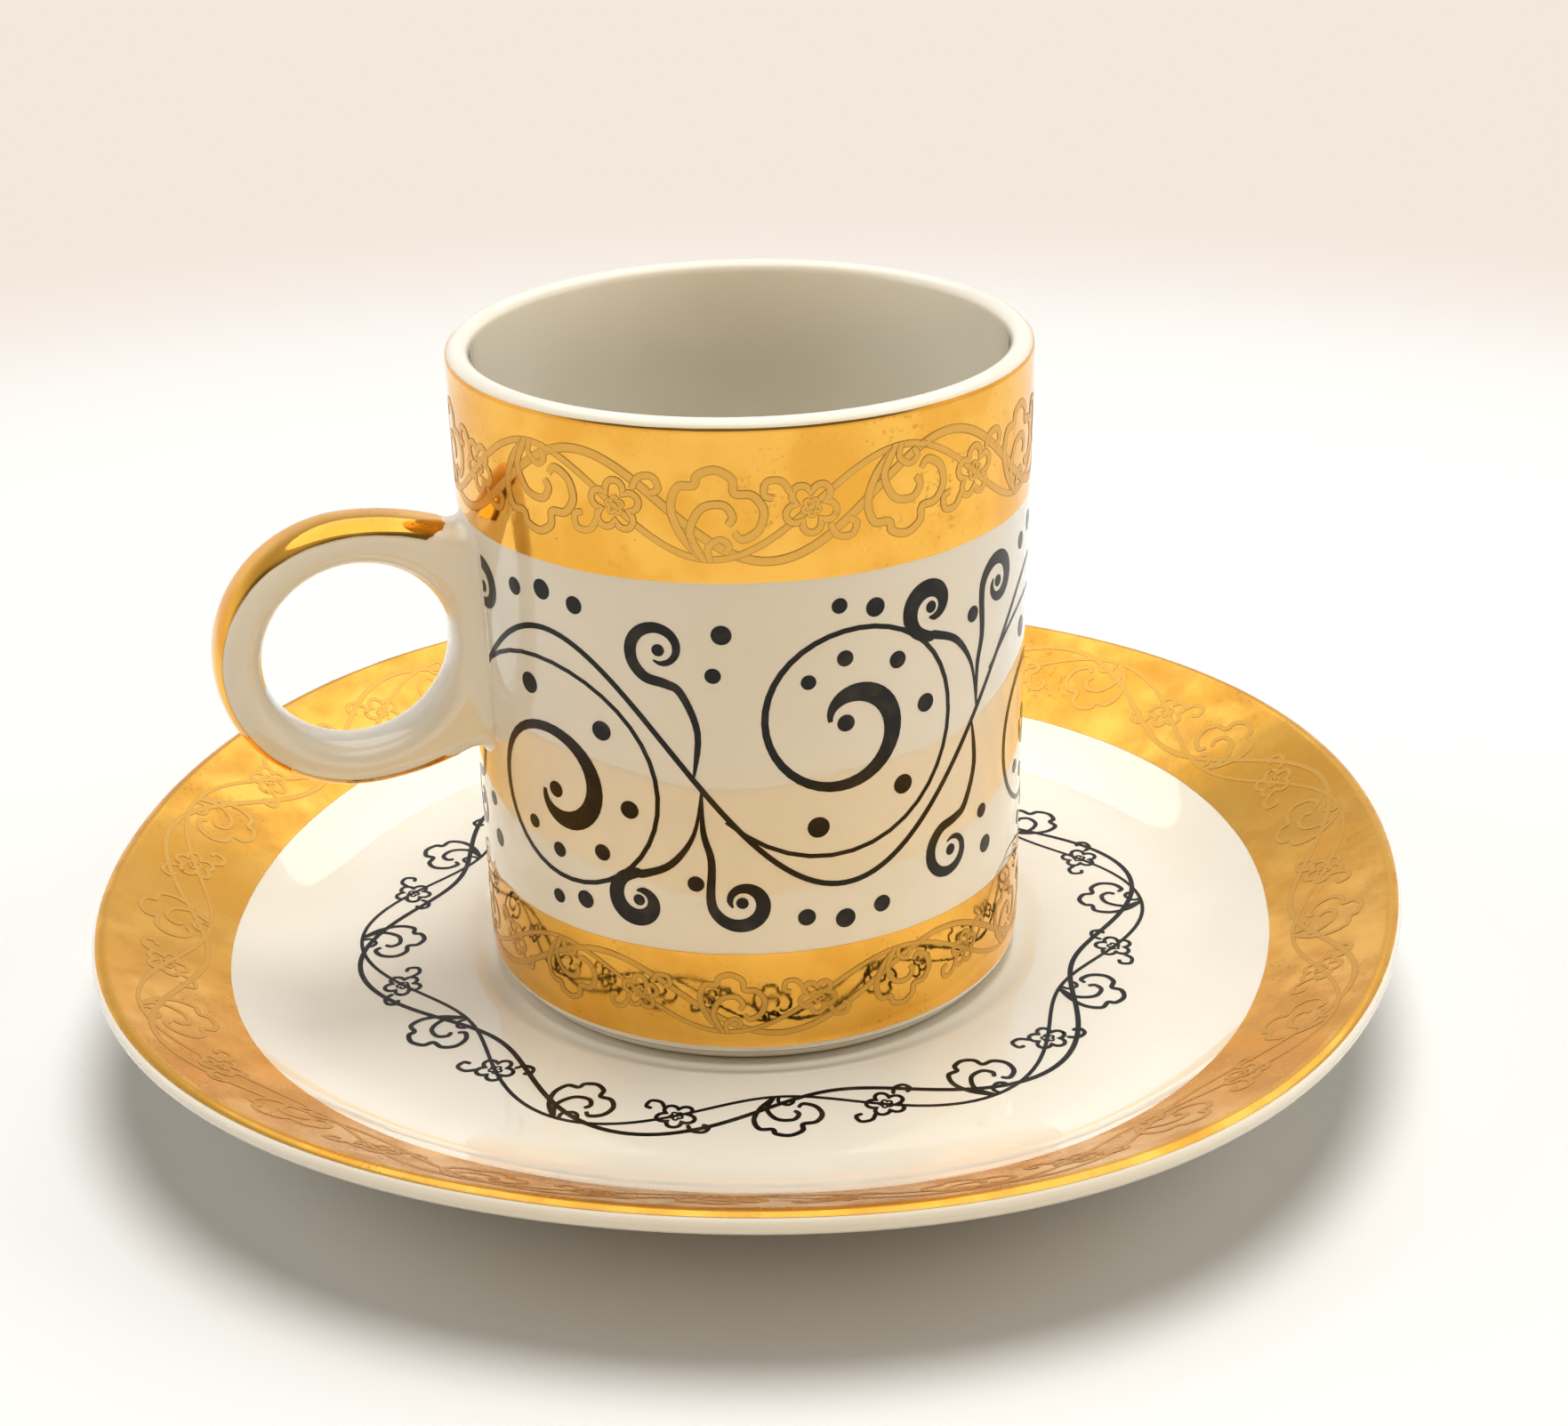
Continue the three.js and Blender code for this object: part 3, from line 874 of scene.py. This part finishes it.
def rim_line(saucer):
    """The well's edge, the centre of the rim's rounded edge, and the slope of the face between them."""
    edge_round = saucer.rim_thickness / 2
    well = (saucer.radius - saucer.rim_width, saucer.seat_z + saucer.well_rise)
    edge = (saucer.radius - edge_round, saucer.edge_z - edge_round)
    reach = math.hypot(edge[0] - well[0], edge[1] - well[1])
    slope = math.atan2(edge[1] - well[1], edge[0] - well[0]) + math.asin(edge_round / reach)
    return well, edge, slope


def saucer_profile(saucer):
    """The saucer's section, from the middle of its underside out, up, over the edge and in to the seat."""
    well, edge, slope = rim_line(saucer)
    edge_round = saucer.rim_thickness / 2
    floor_z = saucer.seat_z + saucer.seat_depth
    foot_in = saucer.foot_radius - saucer.foot_width
    flank = 1.5 * MM
    turn_out = -60
    bowl_steps = 16
    seat_steps = 12
    under = arc(edge, edge_round, turn_out, 90 + math.degrees(slope), 20)
    belly = [
        (saucer.foot_radius + flank, saucer.foot_height),
        (well[0] - saucer.well_slope, floor_z - saucer.floor),
        (well[0], well[1] - saucer.floor),
        under[0],
    ]
    bowl = []
    for step in range(bowl_steps + 1):
        share = step / bowl_steps
        bowl.append((well[0] - saucer.well_slope * share, mix(floor_z, well[1], (1 - share) ** 2)))
    seat = []
    for step in range(seat_steps + 1):
        share = step / seat_steps
        radius = saucer.seat_radius - saucer.seat_shoulder * share
        seat.append((radius, mix(floor_z, saucer.seat_z, smooth(share))))
    return joined(
        [(0, saucer.foot_height)],
        [(foot_in - flank, saucer.foot_height)],
        [(foot_in, 0), (saucer.foot_radius, 0)],
        spline(belly, 8)[:-1],
        under, bowl, seat,
        [(0, saucer.seat_z)])


def saucer_shape(saucer):
    """A shape that swells the saucer's corners, from its foot ring out to the well's edge."""
    well_radius = saucer.radius - saucer.rim_width

    def shape(turn, radius, height):
        share = smooth((radius - saucer.foot_radius) / (well_radius - saucer.foot_radius))
        swell = saucer.lobe * math.cos(4 * (turn - saucer.lobe_turn))
        return radius * (1 + share * swell), height
    return shape


def layer(path, lift):
    """The closed profile of a thin layer on a path of (radius, height, tilt of the face)."""
    def moved(by):
        return [(radius + by * math.cos(tilt), height + by * math.sin(tilt)) for radius, height, tilt in path]

    return moved(lift) + moved(-lift)[::-1]


def wobble(turn, seed):
    """A small uneven wave round the axis, between about -1 and 1."""
    waves = ((3, 0.35), (7, 0.3), (16, 0.22), (37, 0.13))
    return sum(size * math.sin(rate * turn + seed * (1.7 + rate)) for rate, size in waves)


def handle_outline(handle, toward):
    """Half the handle's height at a distance from the hole's centre towards the wall, without its fillet."""
    outer = handle.hole_radius + handle.band
    return mix(outer, handle.root_half, clamp(toward / (handle.web + handle.hole_radius)) ** 2)


def handle_half_width(handle, toward, climb):
    """Half the handle's width at a place on its side, without its fillet: none at its edges, full inside."""
    radius = math.hypot(toward, climb)
    to_edge = handle.hole_radius + handle.band - radius
    if toward > 0:
        to_edge = handle_outline(handle, toward) - abs(climb)
    inside = clamp(min(radius - handle.hole_radius, to_edge) / (handle.band / 2))
    return handle.width / 2 * (1 - (1 - inside) ** (2 / handle.squareness)) ** (handle.squareness / 2)


def handle_reach(handle, turn):
    """Distance from the hole's centre to the handle's outer edge, at an angle from its far side."""
    outer = handle.hole_radius + handle.band
    inward = -math.cos(turn)
    if inward <= TINY:
        return outer
    halvings = 40
    climb = abs(math.sin(turn))
    low = handle.hole_radius
    high = min((handle.web + handle.hole_radius + handle.root_depth) / inward, 2 * outer)
    if high * climb <= handle_outline(handle, high * inward):
        return high
    for _ in range(halvings):
        middle = (low + high) / 2
        if middle * climb > handle_outline(handle, middle * inward):
            high = middle
        else:
            low = middle
    return low


def handle_turns(handle):
    """Angles round the hole at which the handle's skin is drawn, closer together where its roots spread."""
    root_steps = 18
    spine_steps = 110
    web_steps = 36
    root = handle.web + handle.hole_radius + handle.root_depth
    spread = []
    for step in range(root_steps + 1):
        nearing = math.sin(math.pi / 2 * step / root_steps)
        toward = root - (handle.fillet + handle.root_depth) * (1 - nearing)
        spread.append(math.pi - math.atan2(handle_outline(handle, toward), toward))
    upper = [spread[0] * step / spine_steps for step in range(spine_steps)] + spread
    upper += [mix(spread[-1], math.pi, step / web_steps) for step in range(1, web_steps + 1)]
    return upper + [-turn for turn in reversed(upper[1:-1])]


def handle_skin(cup, handle, turn, section):
    """A point on the handle's skin, at an angle round the hole and a turn round the section. Next to the wall
    the skin spreads along it in an arc."""
    radius = mix(handle.hole_radius, handle_reach(handle, turn), (1 + math.cos(section)) / 2)
    toward = -radius * math.cos(turn)
    climb = radius * math.sin(turn)
    half = handle_half_width(handle, toward, climb)
    step = 0.01 * MM
    fillet_rounds = 5
    higher = handle_half_width(handle, toward, climb + step)
    lower = handle_half_width(handle, toward, climb - step)
    slope = (higher - lower) / (2 * step)
    sideways = 1 / math.hypot(1, slope)
    upwards = -slope * sideways
    if abs(math.sin(section)) < TINY:
        half, sideways, upwards = 0.0, 0.0, math.copysign(1, climb)
    wall = wall_radius(cup, handle.centre_z)
    side, spread = half, 0.0
    for _ in range(fillet_rounds):
        height = handle.centre_z + climb + spread * upwards
        falls_back = wall - math.sqrt(wall_radius(cup, height) ** 2 - side ** 2)
        to_wall = handle.web + handle.hole_radius + falls_back + handle.sink
        near = clamp(1 - (to_wall - toward) / handle.fillet)
        spread = handle.flare * (1 - math.sqrt(1 - near * near))
        side = half + spread * sideways
    centre = wall + handle.web + handle.hole_radius
    return Vector((
        toward - centre,
        math.copysign(side, math.sin(section)),
        handle.centre_z + climb + spread * upwards,
    ))


def handle_lifted(cup, handle, turn, section, lift):
    """A point off the handle's skin."""
    step = 1e-3
    along = handle_skin(cup, handle, turn + step, section) - handle_skin(cup, handle, turn - step, section)
    around = handle_skin(cup, handle, turn, section + step) - handle_skin(cup, handle, turn, section - step)
    return handle_skin(cup, handle, turn, section) + lift * along.cross(around).normalized()


# Operators

class MakeCupBody(bpy.types.Operator):
    """Turn the cup's porcelain body"""

    bl_idname = "espresso.cup_body"
    bl_label = "Cup Body"

    def execute(self, context):
        profile = cup_profile(context.scene.espresso_cup)
        settle(turned("porcelain_cup", profile, porcelain_glaze()), "cup", "cup_body", slot="porcelain")
        return {"FINISHED"}


class MakeHandle(bpy.types.Operator):
    """Sweep the ring handle, with roots that spread on the cup's wall, and its gold line"""

    bl_idname = "espresso.handle"
    bl_label = "Handle"

    section_steps = 64
    line_steps = 160
    line_columns = 28
    # Angles by which the gold line's ends are rounded and uneven, and the share by which its edges are
    end_round = 0.11
    end_wobble = 0.02
    edge_wobble = 0.03

    def execute(self, context):
        cup = context.scene.espresso_cup
        handle = context.scene.espresso_handle
        turns = handle_turns(handle)
        vertices = []
        for turn in turns:
            for side in range(self.section_steps):
                vertices.append(handle_skin(cup, handle, turn, FULL_TURN * side / self.section_steps))
        faces = grid_faces(len(turns), self.section_steps, True, True)
        ring = new_piece("porcelain_handle", vertices, faces, porcelain_glaze())
        settle(ring, "cup", "cup_handle", slot="porcelain")
        self.gold_line(context, cup, handle)
        return {"FINISHED"}

    def gold_line(self, context, cup, handle):
        """The gold layer on the handle's outer spine, narrowest at its far side, with slightly uneven edges
        and rounded ends."""
        lift = context.scene.espresso_decor.gold_lift
        rows = []
        for side in range(self.line_columns + 1):
            share = 2 * side / self.line_columns - 1
            half_sweep = math.pi - handle.line_end - self.end_round * share * share
            half_sweep += self.end_wobble * wobble(3 * share, 5)
            row = []
            for step in range(self.line_steps + 1):
                turn = mix(-half_sweep, half_sweep, step / self.line_steps)
                breadth = mix(handle.line_waist, 1.0, smooth(2 * abs(turn) / math.pi))
                uneven = 1 + self.edge_wobble * wobble(turn, 2 + (share > 0))
                section = share * handle.line_wrap * breadth * uneven
                row.append((handle_lifted(cup, handle, turn, section, lift),
                            handle_lifted(cup, handle, turn, section, -lift)))
            rows.append(row)
        line_piece = skinned("gold_line_handle", rows, burnished_gold())
        settle(line_piece, "cup", "handle_gold_line", slot="gold")


class MakeSaucer(bpy.types.Operator):
    """Turn the saucer, with the soft corners of its outline"""

    bl_idname = "espresso.saucer"
    bl_label = "Saucer"

    def execute(self, context):
        saucer = context.scene.espresso_saucer
        piece = turned("porcelain_saucer", saucer_profile(saucer), porcelain_glaze(), saucer_shape(saucer))
        settle(piece, "saucer", "saucer", slot="porcelain")
        return {"FINISHED"}


class MakeGoldBands(bpy.types.Operator):
    """Lay the gold bands on the cup and the gold rim on the saucer"""

    bl_idname = "espresso.gold_bands"
    bl_label = "Gold Bands"

    def execute(self, context):
        cup = context.scene.espresso_cup
        decor = context.scene.espresso_decor
        gold = burnished_gold()
        for seed, (name, bottom, top) in enumerate(BANDS):
            piece = self.cup_band(cup, decor, "gold_band_" + name, bottom, top, seed, gold)
            settle(piece, "cup", name + "_gold_band", slot="gold")
        piece = self.saucer_rim(context.scene.espresso_saucer, decor, burnished_gold("handled_gold", 1.0))
        settle(piece, "saucer", "saucer_gold_rim", slot="gold")
        return {"FINISHED"}

    @staticmethod
    def cup_band(cup, decor, name, bottom, top, seed, gold):
        """A thin layer round the cup's wall, with slightly uneven edges. A band that ends at the lip runs a
        little way up its round."""
        wall_steps = 10
        lip_steps = 6
        lip_round = cup.wall / 2
        under_lip = cup.lip_z - lip_round
        meets_lip = under_lip - top < lip_round
        end = under_lip if meets_lip else top
        heights = [mix(bottom, end, step / wall_steps) for step in range(wall_steps + 1)]
        path = [(wall_radius(cup, height), height, 0.0) for height in heights]
        if meets_lip:
            for step in range(1, lip_steps + 1):
                turn = decor.lip_reach * step / lip_steps
                path.append((cup.rim_radius - lip_round + lip_round * math.cos(turn),
                             under_lip + lip_round * math.sin(turn), turn))
        # Only the rows at the band's two edges are uneven
        slack = 1.01
        first = path[0][1]
        last = path[-1][1] - slack * decor.gold_lift

        def shape(turn, radius, height):
            if height <= first:
                height += decor.edge_wobble * wobble(turn, 1 + seed)
            elif height >= last:
                height += decor.edge_wobble * wobble(turn, 4 + seed)
            return radius, height
        return turned(name, layer(path, decor.gold_lift), gold, shape)

    @staticmethod
    def saucer_rim(saucer, decor, gold):
        """A thin layer on the rim's sloping face and over the top of its rounded edge."""
        well, edge, slope = rim_line(saucer)
        end_turn = 52
        face_turn = 90 + math.degrees(slope)
        over_steps = 14
        over = arc(edge, saucer.rim_thickness / 2, end_turn, face_turn, over_steps)
        path = []
        for step, place in enumerate(over):
            path.append((*place, math.radians(mix(end_turn, face_turn, step / over_steps))))
        path += [(*place, math.radians(face_turn)) for place in [*line(over[-1], well), well]]
        swell = saucer_shape(saucer)

        def shape(turn, radius, height):
            if radius < well[0] + decor.gold_lift:
                radius += decor.edge_wobble * wobble(turn, 7)
            return swell(turn, radius, height)
        return turned("gold_rim_saucer", layer(path, decor.gold_lift), gold, shape)


class MakeEtchedVines(bpy.types.Operator):
    """Etch the weaving vines into the cup's bands and the saucer's rim"""

    bl_idname = "espresso.etched_vines"
    bl_label = "Etched Vines"

    # Half heights as shares of the bands and the rim, and the rim's thinner strokes, edges and first angle
    band_share = 0.44
    rim_share = 0.40
    rim_stroke = 0.8
    rim_edge_depth = 0.35
    rim_start = 0.2

    def execute(self, context):
        cup = context.scene.espresso_cup
        saucer = context.scene.espresso_saucer
        decor = context.scene.espresso_decor
        etched = etched_gold()
        for name, bottom, top in BANDS:
            middle = (bottom + top) / 2
            half = self.band_share * (top - bottom)
            vine = laid_round(
                "etched_vine_" + name, etched, draw_vine, half, decor.vine_stem * half, decor.stroke_lift,
                decor.cup_vines, wall_radius(cup, middle) + decor.gold_lift,
                start=0.0, height=middle, lean=wall_taper(cup), rise=1.0)
            settle(vine, "cup", slot="gold")
        well, edge, slope = rim_line(saucer)
        half = self.rim_share * (edge[0] - well[0]) / math.cos(slope)
        middle = (well[0] + edge[0]) / 2
        height = well[1] + (middle - well[0]) * math.tan(slope) + decor.gold_lift / math.cos(slope)
        faint = etched_gold("faint_etched_gold", self.rim_edge_depth)
        vine = laid_round(
            "etched_vine_rim", faint, draw_vine, half, self.rim_stroke * decor.vine_stem * half,
            decor.stroke_lift, decor.rim_vines, middle,
            start=self.rim_start, height=height, lean=-math.cos(slope), rise=-math.sin(slope),
            lobe=saucer.lobe, lobe_turn=saucer.lobe_turn)
        settle(vine, "saucer", slot="gold")
        return {"FINISHED"}


class MakeBlackPrint(bpy.types.Operator):
    """Print the black scrolls on the cup and the black vine in the saucer's well"""

    bl_idname = "espresso.black_print"
    bl_label = "Black Print"

    # Half height of the scrolls as a share of the white field, and the first angles of scrolls and ring
    field_share = 0.46
    scroll_start = math.pi
    ring_start = 0.35

    def execute(self, context):
        cup = context.scene.espresso_cup
        saucer = context.scene.espresso_saucer
        decor = context.scene.espresso_decor
        ink = black_ink()
        bottom, top = LOWER_HIGH.z, UPPER_LOW.z
        middle = (bottom + top) / 2
        scrolls = laid_round(
            "ink_scrolls_cup", ink, draw_scrolls, self.field_share * (top - bottom), decor.scroll_width,
            decor.stroke_lift, decor.scroll_units, wall_radius(cup, middle),
            start=self.scroll_start, height=middle, lean=wall_taper(cup), rise=1.0)
        settle(scrolls, "cup")
        vine = laid_round(
            "ink_vine_saucer", ink, draw_vine, decor.ring_half, decor.ring_stem * decor.ring_half,
            decor.stroke_lift, decor.ring_vines, decor.ring_radius,
            start=self.ring_start, height=saucer.seat_z + saucer.seat_depth, lean=-1.0, rise=0.0)
        settle(vine, "saucer")
        return {"FINISHED"}


class MakeStage(bpy.types.Operator):
    """Set the floor, the light and the camera"""

    bl_idname = "espresso.stage"
    bl_label = "Stage"

    # Half the floor's width, and the distances over which it starts to glow and takes its far tint, a painted
    # shade
    floor_reach = 6.0
    glow_fade = (0.13, 0.30)
    far_shade_fade = (0.17, 0.34)
    # Parts of a unit vector over which the surround changes: its height, and its way towards the camera
    horizon_fade = (0.0, 0.35)
    overhead_fade = (0.1, 0.7)
    front_foot_fade = (0.04, 0.22)
    front_top_fade = (0.85, 0.6)
    front_side_fade = (0.1, 0.55)
    sensor_width = 36.0
    nearest = 0.01

    def execute(self, context):
        look = context.scene.espresso_stage
        self.floor(look)
        self.lamps(context, look)
        self.surround(context, look)
        self.camera(context, look)
        context.scene.view_settings.view_transform = "Standard"
        return {"FINISHED"}

    def floor(self, look):
        """A plain pale floor under the saucer. Further off, camera and reflections see it as surround, a glow
        with painted shade that grows darker and warmer with distance.
        """
        material, graph = new_material("pale_floor")
        place = graph.node("ShaderNodeVectorMath", {"operation": "LENGTH"}, Vector=graph.place())
        away = graph.out(place, "Value")
        seen = graph.seen()
        pale = graph.blend(graph.rise(away, *self.far_shade_fade), look.surround, look.far_floor_shade)
        near = graph.blend(seen, look.floor_bounce, look.floor)
        lit = graph.node("ShaderNodeBsdfPrincipled", Base_Color=near, Roughness=0.7, Specular_IOR_Level=0.2)
        glow = graph.node("ShaderNodeEmission", Color=pale)
        share = seen * graph.rise(away, *self.glow_fade)
        both = graph.node("ShaderNodeMixShader", i0=share, i1=graph.out(lit), i2=graph.out(glow))
        graph.node("ShaderNodeOutputMaterial", Surface=graph.out(both))
        reach = self.floor_reach
        corners = [(-reach, -reach, 0), (reach, -reach, 0), (reach, reach, 0), (-reach, reach, 0)]
        new_piece("floor", corners, [(0, 1, 2, 3)], material)

    def lamps(self, context, look):
        """Round lamps above, behind, at both sides and low in front. Reflections see only the large sky
        lamp, and all other light comes from the rest."""
        turn = Matrix.Rotation(look.azimuth, 3, "Z")
        # Name, watts, diameter, colour, and place as the camera sees it
        lamps = (
            ("sky", look.sky_power, 1.9, look.light, (0.15, 0.25, 1.05)),
            ("key", look.key_power, 0.6, look.light, (0.06, 0.06, 1.05)),
            ("back", look.back_power, 0.6, look.light, (0.10, 0.45, 0.75)),
            ("left", look.side_power, 0.9, look.light, (-0.95, 0.05, 0.48)),
            ("right", look.side_power, 0.9, look.light, (0.95, 0.05, 0.48)),
            ("fill", look.fill_power, 0.3, look.warm_light, (0.15, -0.95, 0.12)))
        for name, power, size, tint, place in lamps:
            lamp = bpy.data.lights.new(name, "AREA")
            lamp.shape = "DISK"
            lamp.energy = power
            lamp.size = size
            lamp.color = tint
            holder = bpy.data.objects.new(name, lamp)
            context.scene.collection.objects.link(holder)
            holder.location = turn @ Vector(place)
            holder.visible_glossy = name == "sky"
            holder.visible_diffuse = name != "sky"
            holder.rotation_euler = (-holder.location).to_track_quat("-Z", "Y").to_euler()

    def surround(self, context, look):
        """A faint light from all round, and the pale surround that camera and reflections see instead, which
        is darker overhead and above the camera."""
        world = context.scene.world or bpy.data.worlds.new("surround")
        context.scene.world = world
        world.use_nodes = True
        graph = Graph(world.node_tree)
        direction = graph.node("ShaderNodeSeparateXYZ", Vector=graph.out(graph.node("ShaderNodeTexCoord")))
        across, along, height = (graph.out(direction, axis) for axis in "XYZ")
        ahead = across * math.sin(look.azimuth) - along * math.cos(look.azimuth)
        overhead = graph.rise(height, *self.overhead_fade)
        in_front = graph.rise(height, *self.front_foot_fade) * graph.rise(height, *self.front_top_fade)
        in_front = in_front * graph.rise(ahead, *self.front_side_fade)
        strength = 1.0 - (1.0 - look.overhead) * overhead
        strength = strength * (1.0 - (1.0 - look.in_front) * in_front)
        # Near the horizon the surround takes the far floor's painted shade.
        tint = graph.blend(graph.rise(height, *self.horizon_fade), look.far_floor_shade, look.surround)
        ambient = graph.node("ShaderNodeBackground", Color=look.soft_light, Strength=look.ambient)
        pale = graph.node("ShaderNodeBackground", Color=tint, Strength=strength)
        both = graph.node("ShaderNodeMixShader", i0=graph.seen(), i1=graph.out(ambient), i2=graph.out(pale))
        graph.node("ShaderNodeOutputWorld", Surface=graph.out(both))

    def camera(self, context, look):
        """The camera, placed from the cup's foot."""
        data = bpy.data.cameras.new("camera")
        data.sensor_width = self.sensor_width
        data.lens = data.sensor_width * look.focal_pixels / look.frame_width
        data.clip_start = self.nearest
        camera = bpy.data.objects.new("camera", data)
        context.scene.collection.objects.link(camera)
        level = math.cos(look.pitch)
        ahead = Vector((math.sin(look.yaw) * level, math.cos(look.yaw) * level, -math.sin(look.pitch)))
        right = ahead.cross(Vector((0, 0, 1))).normalized()
        up = right.cross(ahead)
        rolled_right = right * math.cos(look.roll) + up * math.sin(look.roll)
        rolled_up = up * math.cos(look.roll) - right * math.sin(look.roll)
        axes = Matrix((rolled_right, rolled_up, -ahead)).transposed()
        turn = Matrix.Rotation(look.azimuth, 3, "Z")
        eye = Vector((0, -look.distance, look.height + context.scene.espresso_cup.foot_z))
        camera.matrix_world = Matrix.Translation(turn @ eye) @ (turn @ axes).to_4x4()
        context.scene.camera = camera


class EspressoPanel(bpy.types.Panel):
    """The pieces of the cup and saucer, and their sizes"""

    bl_idname = "VIEW3D_PT_espresso"
    bl_label = "Espresso Cup and Saucer"
    bl_space_type = "VIEW_3D"
    bl_region_type = "UI"
    bl_category = "Espresso"

    def draw(self, context):
        for operator in PIECE_OPERATORS:
            self.layout.operator(operator.bl_idname)
        for name in GROUPS:
            group = getattr(context.scene, name)
            box = self.layout.box()
            box.label(text=GROUPS[name].__doc__)
            for key in GROUPS[name].__annotations__:
                box.prop(group, key)


GROUPS = {
    "espresso_cup": CupSizes,
    "espresso_handle": HandleSizes,
    "espresso_saucer": SaucerSizes,
    "espresso_decor": DecorSizes,
    "espresso_finishes": Finishes,
    "espresso_stage": StageLook,
}
PIECE_OPERATORS = (
    MakeStage, MakeCupBody, MakeHandle, MakeSaucer, MakeGoldBands, MakeEtchedVines, MakeBlackPrint)


def register():
    """Registers the settings, the operators and the panel."""
    for name, group in GROUPS.items():
        bpy.utils.register_class(group)
        setattr(bpy.types.Scene, name, bpy.props.PointerProperty(type=group))
    for kind in (*PIECE_OPERATORS, EspressoPanel):
        bpy.utils.register_class(kind)


def unregister():
    """Takes the panel, the operators and the settings away again."""
    for kind in reversed((*PIECE_OPERATORS, EspressoPanel)):
        bpy.utils.unregister_class(kind)
    for name, group in reversed(GROUPS.items()):
        delattr(bpy.types.Scene, name)
        bpy.utils.unregister_class(group)


def main():
    """Makes the stage and every piece."""
    register()
    bpy.ops.espresso.stage()
    bpy.ops.espresso.cup_body()
    bpy.ops.espresso.handle()
    bpy.ops.espresso.saucer()
    bpy.ops.espresso.gold_bands()
    bpy.ops.espresso.etched_vines()
    bpy.ops.espresso.black_print()


if __name__ == "__main__":
    main()
